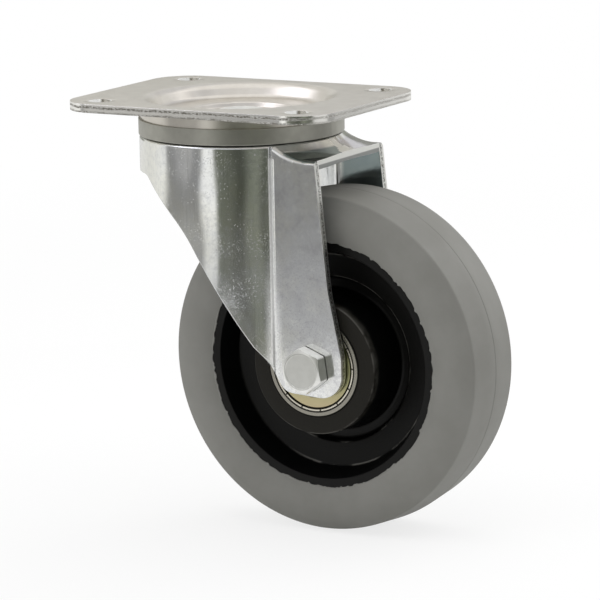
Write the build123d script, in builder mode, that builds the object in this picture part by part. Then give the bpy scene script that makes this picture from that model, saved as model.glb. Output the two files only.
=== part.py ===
from build123d import *
from math import floor, pi, sqrt
import os

# Swivel castor with a pressed steel fork and a ball-bearing wheel.
# Millimetres. The origin is the centre of the top plate's upper face, on the swivel axis.
# +Z is up, +X is the way the wheel trails, and the axle lies along Y.
# "near" pieces are on the -Y side, with the bolt head, and "far" ones on the +Y side.

os.makedirs("parts", exist_ok=True)

# ------------------------------------------------------------------ driving dimensions

# Overall
WHEEL_R = 80.0
TRAIL = 52.0
WHEEL_CLEARANCE = 12.6

# Top plate
PLATE_LENGTH = 138.5
PLATE_WIDTH = 106.0
PLATE_CORNER_R = 18.5
PLATE_T = 4.0
HOLE_SPACING_X = 105.0
HOLE_SPACING_Y = 80.0
HOLE_R = 5.5
DISH_DEPTH = 6.5
DISH_MOUTH_R = 43.5
DISH_FOOT_R = 39.5
DISH_WALL_R = 47.2
SUNK_R = 24.5
SUNK_DEPTH = 2.5

# Dust ring
DUST_RING_WALL = 1.0
DUST_RING_BELOW_PLATE = 5.1
DUST_RING_HEIGHT = 7.6
DUST_RING_INNER_WALL = 2.8
DUST_RING_FIT = 0.05

# Swivel bearing
UPPER_RACE_R = 38.0
UPPER_BALL_R = 4.0
UPPER_RACE_DEPTH = 1.25
LOWER_RACE_R = 33.0
LOWER_BALL_R = 3.5
LOWER_RACE_DEPTH = 0.95
RACE_CLEARANCE = 0.1
BALL_SPACING_GAP = 0.5
CUP_T = 3.5
CUP_HUB_R = 23.5
CUP_RIM_R = 40.0
CUP_LIP_HEIGHT = 3.0
CUP_LIP_T = 2.5

# Kingpin
KINGPIN_R = 7.0
KINGPIN_FIT = 0.1
KINGPIN_HEAD_R = 12.0
KINGPIN_HEAD_HEIGHT = 2.5
KINGPIN_WASHER_R = 16.0
KINGPIN_WASHER_T = 2.5
KINGPIN_NUT_ACROSS_FLATS = 21.0
KINGPIN_NUT_HEIGHT = 11.0
KINGPIN_TAIL = 2.5

# Fork
FORK_T = 4.0
FORK_BARREL_R = 48.0
FORK_HALF_WIDTH = 33.0
FORK_SHOULDER_R = 1.6
FORK_LAND_STEP = 1.0
FORK_LAND_R = 44.6
FORK_LAND_SLOPE = 0.6
FORK_HUB_CLEARANCE = 2.0
FORK_BEND_R = 2.5
FORK_CREASE_R = 3.0
CROWN_DROP = 6.2
CROWN_SWEEP_R = 20.0
CROWN_SWEEP_START_R = 47.5
FORK_REAR_X = 57.0
FORK_REAR_BEND_R = 30.0
BARREL_FRONT_DEPTH = 16.3
BARREL_FRONT_X = 29.0
BARREL_FRONT_BEND_R = 6.0
SLANT_BEND_X = 4.0
SLANT_BEND_BELOW = 23.5
SLANT_BEND_R = 60.0
RUN_OUT_HEIGHT = 5.5
RUN_OUT_BACK = 30.0
RUN_OUT_FALL = 0.55
LEG_TOE_AHEAD = 12.7
LEG_TOE_BELOW = 11.8
LEG_TOE_R = 8.0
LEG_HEEL_BEHIND = 17.3
LEG_HEEL_BELOW = 13.9
LEG_HEEL_R = 11.0
LEG_HIP_ABOVE = 6.0
LEG_HIP_R = 12.0
LEG_KNEE_BEHIND = 10.9
LEG_KNEE_ABOVE = 36.6
LEG_KNEE_R = 60.0

# Wheel
TYRE_HALF_WIDTH = 22.7
TYRE_CROWN_DROP = 1.5
TYRE_SHOULDER_Y = 18.9
TYRE_SHOULDER_ROUND = 1.2
TYRE_BULGE_DEPTH = 13.0
TYRE_FOOT_Y = 21.2
RIM_R = 58.4
RIM_LIP_T = 4.2
RIM_LIP_Y = 21.0
RIM_KEY_HEIGHT = 2.5
RIM_KEY_HALF_WIDTH = 6.0
TYRE_BOND_GAP = 0.02
WEB_OUTER_R = 50.3
WEB_INNER_R = 39.4
WEB_HALF_T = 8.0
WEB_RISE = 1.5
GROOVE_OUTER_R = 38.0
GROOVE_INNER_R = 33.2
GROOVE_HALF_T = 3.8
BOSS_R = 31.6
BOSS_SET_BACK = 0.4
BOSS_EDGE = 0.6
HUB_SHOULDER = 3.0
WEB_EDGE = 1.0
LIP_EDGE = 0.5
WHEEL_CENTRE_GAP = 0.02

# Wheel bearings (20 x 47 x 14)
BEARING_BORE_R = 10.0
BEARING_R = 23.5
BEARING_WIDTH = 14.0
BEARING_PITCH_R = 16.75
BEARING_BALL_R = 3.97
BEARING_BALL_COUNT = 8
BEARING_RACE_GAP = 0.09
BEARING_EDGE = 0.9
INNER_RING_R = 14.1
OUTER_RING_INNER_R = 19.4
SHIELD_SEAT_R = 20.7
SHIELD_SEAT_DEPTH = 1.6
SHIELD_T = 0.6
SHIELD_FIT = 0.05
SHIELD_INNER_GAP = 0.3
SHIELD_DISC_R = 19.0
SHIELD_GROOVE_R = 19.7
SHIELD_DISC_SET_BACK = 0.5
SHIELD_RIM_SET_BACK = 0.2
CAGE_HALF_WIDTH = 4.8
CAGE_INNER_R = 15.1
CAGE_OUTER_R = 18.4
CAGE_POCKET_GAP = 0.12

# Axle
AXLE_R = 6.0
AXLE_FIT = 0.1
HEX_ACROSS_FLATS = 19.0
HEX_EDGE = 2.0
HEX_TURN = -8.0
BOLT_HEAD_HEIGHT = 7.5
WASHER_FACE_T = 0.6
WASHER_FACE_INSET = 0.7
LOCK_NUT_HEIGHT = 9.0
LOCK_NUT_COLLAR_HEIGHT = 3.2
LOCK_NUT_COLLAR_R = 8.6
LOCK_NUT_INSERT_T = 1.4
BOLT_TAIL = 2.0
SLEEVE_FIT = 0.02
TUBE_FIT = 0.1
TUBE_WALL = 2.5
SIDE_SPACER_R = 13.0
SIDE_SPACER_T = 0.8

# ------------------------------------------------------------------ derived places

SWIVEL = Axis.Z
# On this plane a profile's x is the distance from the swivel axis and its y the height.
SWIVEL_SECTION = Plane.XZ

FLOOR_TOP = -DISH_DEPTH
FLOOR_UNDER = FLOOR_TOP - PLATE_T
SUNK_TOP = FLOOR_TOP - SUNK_DEPTH
SUNK_UNDER = SUNK_TOP - PLATE_T

UPPER_GROOVE_R = UPPER_BALL_R + RACE_CLEARANCE
UPPER_BALL_Z = FLOOR_UNDER + UPPER_RACE_DEPTH - UPPER_GROOVE_R
LAND_TOP = UPPER_BALL_Z + UPPER_RACE_DEPTH - UPPER_GROOVE_R
LAND_UNDER = LAND_TOP - FORK_T
SHOULDER_TOP = LAND_TOP - FORK_LAND_STEP
CROWN_TOP = SHOULDER_TOP - CROWN_DROP
LOWER_GROOVE_R = LOWER_BALL_R + RACE_CLEARANCE
LOWER_BALL_Z = LAND_UNDER + LOWER_RACE_DEPTH - LOWER_GROOVE_R
CUP_TOP = LOWER_BALL_Z + LOWER_RACE_DEPTH - LOWER_GROOVE_R
CUP_UNDER = CUP_TOP - CUP_T

# The tyre turns clear of the crown's underside.
AXLE_Z = CROWN_TOP - FORK_T - WHEEL_CLEARANCE - WHEEL_R
AXLE = Axis((TRAIL, 0, AXLE_Z), (0, 1, 0))
# On this plane a profile's x is the distance from the axle and its y the place along it.
WHEEL_SECTION = Plane(origin=(TRAIL, 0, AXLE_Z), x_dir=(1, 0, 0), z_dir=(0, 0, 1))

KINGPIN_HOLE_R = KINGPIN_R + KINGPIN_FIT
HUB_CROWN_UNDER = SUNK_UNDER - CUP_T
KINGPIN_NUT_TOP = HUB_CROWN_UNDER - KINGPIN_WASHER_T
KINGPIN_END = KINGPIN_NUT_TOP - KINGPIN_NUT_HEIGHT - KINGPIN_TAIL

LEG_INNER_Y = FORK_HALF_WIDTH - FORK_T
SLEEVE_R = BEARING_BORE_R - SLEEVE_FIT
SHANK_HOLE_R = AXLE_R + AXLE_FIT
BEARING_FACE_Y = LEG_INNER_Y - SIDE_SPACER_T
BEARING_BACK_Y = BEARING_FACE_Y - BEARING_WIDTH
BEARING_MID_Y = BEARING_FACE_Y - BEARING_WIDTH / 2
BOSS_Y = BEARING_FACE_Y - BOSS_SET_BACK


def across_axle(y):
    """The plane square to the axle at a distance y along it, with its x upwards."""
    return Plane(origin=(TRAIL, y, AXLE_Z), x_dir=(0, 0, 1), z_dir=(0, 1, 0))


def finish(piece, name):
    """Label a finished piece and write it as its own STEP file."""
    piece.part.label = name
    export_step(piece.part, f"parts/{name}.step")


def balls_round(race_r, ball_r):
    """How many balls fill a race, with a small gap between neighbours."""
    return floor(2 * pi * race_r / (2 * ball_r + BALL_SPACING_GAP))


# ------------------------------------------------------------------ top plate

with BuildPart() as top_plate:
    dish_join_r = DISH_WALL_R + PLATE_T / 2
    with BuildSketch(Plane.XY.offset(-PLATE_T)):
        RectangleRounded(PLATE_LENGTH, PLATE_WIDTH, PLATE_CORNER_R)
        Circle(dish_join_r, mode=Mode.SUBTRACT)
    extrude(amount=PLATE_T)
    with BuildSketch(SWIVEL_SECTION):
        with BuildLine():
            FilletPolyline(
                (dish_join_r, 0),
                (DISH_MOUTH_R, 0),
                (DISH_FOOT_R, FLOOR_TOP),
                (SUNK_R, FLOOR_TOP),
                (SUNK_R - SUNK_DEPTH / 2, SUNK_TOP),
                (KINGPIN_HOLE_R, SUNK_TOP),
                (KINGPIN_HOLE_R, SUNK_UNDER),
                (SUNK_R + PLATE_T / 2 - SUNK_DEPTH / 2, SUNK_UNDER),
                (SUNK_R + PLATE_T / 2, FLOOR_UNDER),
                (DISH_WALL_R, FLOOR_UNDER),
                (DISH_WALL_R, -PLATE_T),
                (dish_join_r, -PLATE_T),
                radius=[0, 5, 3, 1, 1, 0, 0, 1, 1, 1, 1, 0],
                close=True,
            )
        make_face()
    revolve(axis=SWIVEL)
    with BuildSketch(SWIVEL_SECTION):
        with Locations((UPPER_RACE_R, UPPER_BALL_Z)):
            Circle(UPPER_GROOVE_R)
    revolve(axis=SWIVEL, mode=Mode.SUBTRACT)
    with GridLocations(HOLE_SPACING_X, HOLE_SPACING_Y, 2, 2):
        Hole(HOLE_R)
finish(top_plate, "top_plate")

# ------------------------------------------------------------------ dust ring

with BuildPart() as dust_ring:
    ring_top = -PLATE_T - DUST_RING_BELOW_PLATE
    ring_bottom = ring_top - DUST_RING_HEIGHT
    ring_wall_r = DISH_WALL_R + DUST_RING_FIT
    ring_outer_r = ring_wall_r + DUST_RING_WALL
    ring_inner_r = ring_outer_r - DUST_RING_INNER_WALL
    with BuildSketch(SWIVEL_SECTION):
        with BuildLine():
            FilletPolyline(
                (ring_wall_r, ring_top),
                (ring_outer_r, ring_top),
                (ring_outer_r, ring_bottom),
                (ring_inner_r, ring_bottom),
                (ring_inner_r, FLOOR_UNDER),
                (ring_wall_r, FLOOR_UNDER),
                radius=[0, 0.3, 0.3, 0, 0, 0],
                close=True,
            )
        make_face()
    revolve(axis=SWIVEL)
finish(dust_ring, "dust_ring")

# ------------------------------------------------------------------ kingpin, washer and nut

with BuildPart() as kingpin:
    with BuildSketch(Plane.XY.offset(SUNK_TOP)):
        Circle(KINGPIN_HEAD_R)
    extrude(amount=KINGPIN_HEAD_HEIGHT)
    chamfer(kingpin.faces().sort_by(Axis.Z)[-1].edges(), KINGPIN_HEAD_HEIGHT / 3)
    with BuildSketch(Plane.XY.offset(SUNK_TOP)):
        Circle(KINGPIN_R)
    extrude(amount=KINGPIN_END - SUNK_TOP)
    chamfer(kingpin.faces().sort_by(Axis.Z)[0].edges(), KINGPIN_TAIL / 3)
finish(kingpin, "kingpin")

with BuildPart() as kingpin_washer:
    with BuildSketch(Plane.XY.offset(KINGPIN_NUT_TOP)):
        Circle(KINGPIN_WASHER_R)
        Circle(KINGPIN_HOLE_R, mode=Mode.SUBTRACT)
    extrude(amount=KINGPIN_WASHER_T)
finish(kingpin_washer, "kingpin_washer")

with BuildPart() as kingpin_nut:
    with BuildSketch(Plane.XY.offset(KINGPIN_NUT_TOP)):
        RegularPolygon(KINGPIN_NUT_ACROSS_FLATS / 2, 6, major_radius=False)
        Circle(KINGPIN_HOLE_R, mode=Mode.SUBTRACT)
    extrude(amount=-KINGPIN_NUT_HEIGHT)
finish(kingpin_nut, "kingpin_nut")

# ------------------------------------------------------------------ lower cup

with BuildPart() as lower_cup:
    hub_inner_r = CUP_HUB_R - CUP_T
    with BuildSketch(SWIVEL_SECTION):
        with BuildLine():
            FilletPolyline(
                (KINGPIN_HOLE_R, SUNK_UNDER),
                (CUP_HUB_R, SUNK_UNDER),
                (CUP_HUB_R, CUP_TOP),
                (CUP_RIM_R - CUP_LIP_T, CUP_TOP),
                (CUP_RIM_R - CUP_LIP_T, CUP_TOP + CUP_LIP_HEIGHT),
                (CUP_RIM_R, CUP_TOP + CUP_LIP_HEIGHT),
                (CUP_RIM_R, CUP_UNDER),
                (hub_inner_r, CUP_UNDER),
                (hub_inner_r, HUB_CROWN_UNDER),
                (KINGPIN_HOLE_R, HUB_CROWN_UNDER),
                radius=[0, 1, 0.5, 0, 0, 0, 2, 1, 1, 0],
                close=True,
            )
        make_face()
    revolve(axis=SWIVEL)
    with BuildSketch(SWIVEL_SECTION):
        with Locations((LOWER_RACE_R, LOWER_BALL_Z)):
            Circle(LOWER_GROOVE_R)
    revolve(axis=SWIVEL, mode=Mode.SUBTRACT)
finish(lower_cup, "lower_cup")

# ------------------------------------------------------------------ swivel balls

with BuildPart(Plane.XY.offset(UPPER_BALL_Z)) as upper_balls:
    with PolarLocations(UPPER_RACE_R, balls_round(UPPER_RACE_R, UPPER_BALL_R)):
        Sphere(UPPER_BALL_R)
finish(upper_balls, "upper_balls")

with BuildPart(Plane.XY.offset(LOWER_BALL_Z)) as lower_balls:
    with PolarLocations(LOWER_RACE_R, balls_round(LOWER_RACE_R, LOWER_BALL_R)):
        Sphere(LOWER_BALL_R)
finish(lower_balls, "lower_balls")

# ------------------------------------------------------------------ fork

# The fork is one sheet: a solid of its outer form, less a solid of its inner form.
# Each form is a round barrel about the swivel axis joined to a saddle with two flat sides,
# under a crown that sweeps down from the barrel's shoulder to the saddle's flat top.
below_fork = AXLE_Z - WHEEL_R
beyond_fork = 2 * FORK_BARREL_R
sweep_reach = sqrt(CROWN_SWEEP_R**2 - (CROWN_SWEEP_R - CROWN_DROP) ** 2)
sweep_centre_r = CROWN_SWEEP_START_R + sweep_reach
sweep_centre_z = CROWN_TOP + CROWN_SWEEP_R
run_out_normal = {side: Vector(RUN_OUT_FALL, -side, 1).normalized() for side in (-1, 1)}


def fork_form(inset, bend_r, shoulder_r):
    """The fork's outer form, or with an inset of the sheet's thickness its inner form."""
    shoulder_z = SHOULDER_TOP - inset
    half_width = FORK_HALF_WIDTH - inset
    barrel_r = FORK_BARREL_R - inset
    crease_r = FORK_CREASE_R + inset
    crease_x = sqrt(barrel_r**2 - half_width**2)
    sweep_r = CROWN_SWEEP_R + inset
    sweep_start_r = sweep_centre_r - sqrt(sweep_r**2 - (sweep_centre_z - shoulder_z) ** 2)
    sweep_end_z = sweep_centre_z - sweep_r

    with BuildPart() as saddle:
        with BuildSketch(Plane.XY.offset(below_fork)):
            Rectangle(beyond_fork, 2 * half_width, align=(Align.MIN, Align.CENTER))
        extrude(amount=shoulder_z - below_fork)
        with BuildSketch(SWIVEL_SECTION):
            with BuildLine():
                top = Line((0, shoulder_z), (sweep_start_r, shoulder_z))
                sweep = RadiusArc(top @ 1, (sweep_centre_r, sweep_end_z), -sweep_r)
                flat = Line(sweep @ 1, (2 * beyond_fork, sweep_end_z))
                Polyline(flat @ 1, (2 * beyond_fork, below_fork), (0, below_fork), top @ 0)
            make_face()
        revolve(axis=SWIVEL, mode=Mode.INTERSECT)
        if bend_r:
            sides = saddle.faces().filter_by(Axis.Y)
            fillet([e for e in sides.edges() if e.center().Z > sweep_end_z - bend_r], bend_r)

    with BuildPart() as form:
        with BuildSketch(Plane.XY.offset(below_fork)):
            Circle(barrel_r)
        extrude(amount=shoulder_z - below_fork)
        if shoulder_r:
            fillet(form.faces().sort_by(Axis.Z)[-1].edges(), shoulder_r)
        # The upright creases where the barrel meets the two sides are rounded.
        with BuildSketch(Plane.XY.offset(below_fork)) as creased:
            Circle(barrel_r)
            Rectangle(crease_x + crease_r, 2 * half_width, align=(Align.MIN, Align.CENTER))
            corners = creased.vertices().group_by(Axis.X)[-2]
            fillet(corners, crease_r)
        extrude(amount=sweep_end_z - below_fork)
        # The barrel runs out into each flat leg above the axle.
        for side, normal in run_out_normal.items():
            foot = Vector(TRAIL - RUN_OUT_BACK, side * FORK_HALF_WIDTH, AXLE_Z + RUN_OUT_HEIGHT)
            split(bisect_by=Plane(origin=foot + normal * inset, z_dir=normal), keep=Keep.TOP)
        add(saddle.part)
    return form.part


fork_outer = fork_form(0, FORK_BEND_R, FORK_SHOULDER_R)
fork_inner = fork_form(FORK_T, 0, 0)

with BuildPart() as fork:
    add(fork_outer)
    # The raised race land on the crown.
    land_foot_r = FORK_LAND_R + FORK_LAND_SLOPE
    with BuildSketch(SWIVEL_SECTION):
        with BuildLine():
            Polyline(
                (0, SHOULDER_TOP - FORK_T),
                (land_foot_r, SHOULDER_TOP - FORK_T),
                (land_foot_r, SHOULDER_TOP),
                (FORK_LAND_R, LAND_TOP),
                (0, LAND_TOP),
                close=True,
            )
        make_face()
    revolve(axis=SWIVEL)
    add(fork_inner, mode=Mode.SUBTRACT)
    with BuildSketch(Plane.XY.offset(LAND_UNDER)):
        Circle(FORK_LAND_R - FORK_T)
    extrude(amount=SHOULDER_TOP - LAND_TOP - FORK_T / 2, mode=Mode.SUBTRACT)
    # The side view's outline: the barrel's front edge, the long slant down to the toes of the
    # legs, their heels under the axle, and the rear edge up to the crown.
    barrel_front_z = SHOULDER_TOP - BARREL_FRONT_DEPTH
    toe = (TRAIL - LEG_TOE_AHEAD, AXLE_Z - LEG_TOE_BELOW)
    heel = (TRAIL + LEG_HEEL_BEHIND, AXLE_Z - LEG_HEEL_BELOW)
    with BuildSketch(SWIVEL_SECTION):
        with BuildLine():
            FilletPolyline(
                (-beyond_fork, barrel_front_z),
                (-BARREL_FRONT_X, barrel_front_z),
                (-SLANT_BEND_X, barrel_front_z - SLANT_BEND_BELOW),
                toe,
                heel,
                (heel[0], AXLE_Z + LEG_HIP_ABOVE),
                (TRAIL + LEG_KNEE_BEHIND, AXLE_Z + LEG_KNEE_ABOVE),
                (FORK_REAR_X, CROWN_TOP),
                (FORK_REAR_X, 0),
                (-beyond_fork, 0),
                radius=[
                    0,
                    BARREL_FRONT_BEND_R,
                    SLANT_BEND_R,
                    LEG_TOE_R,
                    LEG_HEEL_R,
                    LEG_HIP_R,
                    LEG_KNEE_R,
                    FORK_REAR_BEND_R,
                    0,
                    0,
                ],
                close=True,
            )
        make_face()
    extrude(amount=beyond_fork, both=True, mode=Mode.INTERSECT)
    # The hole round the cup's hub, and the two ball races.
    with BuildSketch(Plane.XY.offset(LAND_TOP)):
        Circle(CUP_HUB_R + FORK_HUB_CLEARANCE)
    extrude(amount=-2 * FORK_T, mode=Mode.SUBTRACT)
    with BuildSketch(SWIVEL_SECTION):
        with Locations((UPPER_RACE_R, UPPER_BALL_Z)):
            Circle(UPPER_GROOVE_R)
        with Locations((LOWER_RACE_R, LOWER_BALL_Z)):
            Circle(LOWER_GROOVE_R)
    revolve(axis=SWIVEL, mode=Mode.SUBTRACT)
    with BuildSketch(across_axle(0)):
        Circle(SHANK_HOLE_R)
    extrude(amount=beyond_fork, both=True, mode=Mode.SUBTRACT)
finish(fork, "fork")

# ------------------------------------------------------------------ tyre and wheel centre

with BuildPart() as tyre:
    bond_r = RIM_R + TYRE_BOND_GAP
    key_r = bond_r + RIM_KEY_HEIGHT
    key_y = RIM_KEY_HALF_WIDTH + TYRE_BOND_GAP
    shoulder_r = WHEEL_R - TYRE_CROWN_DROP
    with BuildSketch(WHEEL_SECTION):
        with BuildLine():
            tread = Line((WHEEL_R, 0), (shoulder_r, TYRE_SHOULDER_Y))
            bulge = (WHEEL_R - TYRE_BULGE_DEPTH, TYRE_HALF_WIDTH)
            sidewall = ThreePointArc(tread @ 1, bulge, (bond_r, TYRE_FOOT_Y))
            Polyline(sidewall @ 1, (bond_r, key_y), (key_r, key_y), (key_r, 0), tread @ 0)
        section = make_face()
        fillet(section.vertices().sort_by_distance(tread @ 1)[0], TYRE_SHOULDER_ROUND)
        mirror(about=Plane.XZ)
    revolve(axis=AXLE)
finish(tyre, "tyre")

# The black wheel centre is one moulding in three rings: the hub round the bearings, the web that
# carries its load outwards and the rim that the tyre is bonded to. Each fits round the one before.
with BuildPart() as wheel_hub:
    hub_bore_r = BEARING_R - HUB_SHOULDER
    with BuildSketch(WHEEL_SECTION):
        with BuildLine():
            FilletPolyline(
                (hub_bore_r, 0),
                (hub_bore_r, BEARING_BACK_Y),
                (BEARING_R, BEARING_BACK_Y),
                (BEARING_R, BOSS_Y),
                (BOSS_R, BOSS_Y),
                (GROOVE_INNER_R, GROOVE_HALF_T),
                (GROOVE_INNER_R, 0),
                radius=[0, 0, 0, 0, BOSS_EDGE, 0, 0],
                close=True,
            )
        make_face()
        mirror(about=Plane.XZ)
    revolve(axis=AXLE)
finish(wheel_hub, "wheel_hub")

with BuildPart() as wheel_web:
    web_inside_r = GROOVE_INNER_R + WHEEL_CENTRE_GAP
    with BuildSketch(WHEEL_SECTION):
        with BuildLine():
            FilletPolyline(
                (web_inside_r, 0),
                (web_inside_r, GROOVE_HALF_T),
                (GROOVE_OUTER_R, GROOVE_HALF_T),
                (WEB_INNER_R, WEB_HALF_T),
                (WEB_OUTER_R, WEB_HALF_T + WEB_RISE),
                (WEB_OUTER_R, 0),
                radius=[0, 0, WEB_EDGE, WEB_EDGE, 0, 0],
                close=True,
            )
        make_face()
        mirror(about=Plane.XZ)
    revolve(axis=AXLE)
finish(wheel_web, "wheel_web")

with BuildPart() as wheel_rim:
    rim_inside_r = WEB_OUTER_R + WHEEL_CENTRE_GAP
    lip_inner_r = RIM_R - RIM_LIP_T
    with BuildSketch(WHEEL_SECTION):
        with BuildLine():
            FilletPolyline(
                (rim_inside_r, 0),
                (rim_inside_r, WEB_HALF_T + WEB_RISE),
                (lip_inner_r, RIM_LIP_Y),
                (RIM_R, RIM_LIP_Y),
                (RIM_R, RIM_KEY_HALF_WIDTH),
                (RIM_R + RIM_KEY_HEIGHT, RIM_KEY_HALF_WIDTH),
                (RIM_R + RIM_KEY_HEIGHT, 0),
                radius=[0, 0, LIP_EDGE, 0, 0, 0, 0],
                close=True,
            )
        make_face()
        mirror(about=Plane.XZ)
    revolve(axis=AXLE)
finish(wheel_rim, "wheel_rim")

# ------------------------------------------------------------------ wheel bearings

for side, outward in (("near", -1), ("far", 1)):
    # In this section x is the distance from the axle and y runs outwards from the bearing's middle.
    bearing_origin = (TRAIL, outward * BEARING_MID_Y, AXLE_Z)
    bearing_section = Plane(origin=bearing_origin, x_dir=(1, 0, 0), z_dir=(0, 0, outward))
    bearing_middle = across_axle(outward * BEARING_MID_Y)
    half_width = BEARING_WIDTH / 2
    seat_y = half_width - SHIELD_SEAT_DEPTH
    race_r = BEARING_BALL_R + BEARING_RACE_GAP

    with BuildPart() as outer_ring:
        with BuildSketch(bearing_section):
            with BuildLine():
                FilletPolyline(
                    (OUTER_RING_INNER_R, 0),
                    (OUTER_RING_INNER_R, seat_y),
                    (SHIELD_SEAT_R, seat_y),
                    (SHIELD_SEAT_R, half_width),
                    (BEARING_R, half_width),
                    (BEARING_R, 0),
                    radius=[0, 0, 0, 0, BEARING_EDGE, 0],
                    close=True,
                )
            make_face()
            mirror(about=Plane.XZ)
            with Locations((BEARING_PITCH_R, 0)):
                Circle(race_r, mode=Mode.SUBTRACT)
        revolve(axis=AXLE)
    finish(outer_ring, f"{side}_outer_ring")

    with BuildPart() as inner_ring:
        with BuildSketch(bearing_section):
            with BuildLine():
                FilletPolyline(
                    (BEARING_BORE_R, 0),
                    (BEARING_BORE_R, half_width),
                    (INNER_RING_R, half_width),
                    (INNER_RING_R, 0),
                    radius=[0, BEARING_EDGE, BEARING_EDGE / 3, 0],
                    close=True,
                )
            make_face()
            mirror(about=Plane.XZ)
            with Locations((BEARING_PITCH_R, 0)):
                Circle(race_r, mode=Mode.SUBTRACT)
        revolve(axis=AXLE)
    finish(inner_ring, f"{side}_inner_ring")

    with BuildPart(bearing_middle) as bearing_balls:
        with PolarLocations(BEARING_PITCH_R, BEARING_BALL_COUNT):
            Sphere(BEARING_BALL_R)
    finish(bearing_balls, f"{side}_balls")

    with BuildPart(bearing_middle) as cage:
        with BuildSketch(bearing_middle):
            Circle(CAGE_OUTER_R)
            Circle(CAGE_INNER_R, mode=Mode.SUBTRACT)
        extrude(amount=CAGE_HALF_WIDTH, both=True)
        # Each pocket is drilled towards the axle.
        pocket_r = BEARING_BALL_R + CAGE_POCKET_GAP
        pocket_length = 2 * (CAGE_OUTER_R - CAGE_INNER_R)
        with PolarLocations(BEARING_PITCH_R, BEARING_BALL_COUNT):
            Cylinder(pocket_r, pocket_length, rotation=(0, 90, 0), mode=Mode.SUBTRACT)
    finish(cage, f"{side}_cage")

    # Both shields have one section, turned over for the one that faces the hub.
    for face, shield_turn in (("outer", outward), ("inner", -outward)):
        shield_section = Plane(origin=bearing_origin, x_dir=(1, 0, 0), z_dir=(0, 0, shield_turn))
        disc_y = half_width - SHIELD_DISC_SET_BACK
        rim_y = half_width - SHIELD_RIM_SET_BACK
        groove_y = seat_y + SHIELD_T
        shield_inner_r = INNER_RING_R + SHIELD_INNER_GAP
        with BuildPart() as shield:
            with BuildSketch(shield_section):
                with BuildLine():
                    Polyline(
                        (shield_inner_r, disc_y),
                        (SHIELD_DISC_R, disc_y),
                        (SHIELD_DISC_R + SHIELD_T / 2, groove_y),
                        (SHIELD_GROOVE_R, groove_y),
                        (SHIELD_GROOVE_R + SHIELD_T / 4, rim_y),
                        (SHIELD_SEAT_R - SHIELD_FIT, rim_y),
                        (SHIELD_SEAT_R - SHIELD_FIT, seat_y),
                        (SHIELD_DISC_R, seat_y),
                        (SHIELD_DISC_R - SHIELD_T / 2, disc_y - SHIELD_T),
                        (shield_inner_r, disc_y - SHIELD_T),
                        close=True,
                    )
                make_face()
            revolve(axis=AXLE)
        finish(shield, f"{side}_{face}_shield")

# ------------------------------------------------------------------ axle

with BuildPart() as axle_sleeve:
    with BuildSketch(across_axle(-LEG_INNER_Y)):
        Circle(SLEEVE_R)
        Circle(SHANK_HOLE_R, mode=Mode.SUBTRACT)
    extrude(amount=2 * LEG_INNER_Y)
finish(axle_sleeve, "axle_sleeve")

with BuildPart() as distance_tube:
    with BuildSketch(across_axle(-BEARING_BACK_Y)):
        Circle(SLEEVE_R + TUBE_FIT + TUBE_WALL)
        Circle(SLEEVE_R + TUBE_FIT, mode=Mode.SUBTRACT)
    extrude(amount=2 * BEARING_BACK_Y)
finish(distance_tube, "distance_tube")

for side, spacer_start in (("near", -LEG_INNER_Y), ("far", BEARING_FACE_Y)):
    with BuildPart() as side_spacer:
        with BuildSketch(across_axle(spacer_start)):
            Circle(SIDE_SPACER_R)
            Circle(SLEEVE_R + TUBE_FIT, mode=Mode.SUBTRACT)
        extrude(amount=SIDE_SPACER_T)
    finish(side_spacer, f"{side}_side_spacer")

hex_corner_r = HEX_ACROSS_FLATS / sqrt(3)
hex_edge_drop = HEX_EDGE / 2
bolt_seat = -FORK_HALF_WIDTH
bolt_head_face = bolt_seat - BOLT_HEAD_HEIGHT
washer_face_start = bolt_seat - WASHER_FACE_T
washer_face_r = HEX_ACROSS_FLATS / 2 - WASHER_FACE_INSET
lock_nut_face = FORK_HALF_WIDTH + LOCK_NUT_HEIGHT
lock_nut_end = lock_nut_face + LOCK_NUT_COLLAR_HEIGHT
insert_y = lock_nut_end - LOCK_NUT_COLLAR_HEIGHT / 2 - LOCK_NUT_INSERT_T / 2
bolt_end = lock_nut_end + BOLT_TAIL

with BuildPart() as axle_bolt:
    with BuildSketch(across_axle(bolt_head_face)):
        RegularPolygon(HEX_ACROSS_FLATS / 2, 6, major_radius=False, rotation=HEX_TURN)
    extrude(amount=BOLT_HEAD_HEIGHT)
    # The head's outer face is turned down to a circle at its corners, and a thin round washer
    # face keeps the hexagon clear of the leg.
    with BuildSketch(WHEEL_SECTION):
        with BuildLine():
            Polyline(
                (0, bolt_head_face),
                (hex_corner_r - HEX_EDGE, bolt_head_face),
                (hex_corner_r, bolt_head_face + hex_edge_drop),
                (hex_corner_r, washer_face_start),
                (washer_face_r, washer_face_start),
                (washer_face_r, bolt_seat),
                (0, bolt_seat),
                close=True,
            )
        make_face()
    revolve(axis=AXLE, mode=Mode.INTERSECT)
    with BuildSketch(across_axle(bolt_seat)):
        Circle(AXLE_R)
    extrude(amount=bolt_end - bolt_seat)
    chamfer(axle_bolt.faces().sort_by(Axis.Y)[-1].edges(), BOLT_TAIL / 2)
finish(axle_bolt, "axle_bolt")

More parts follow.
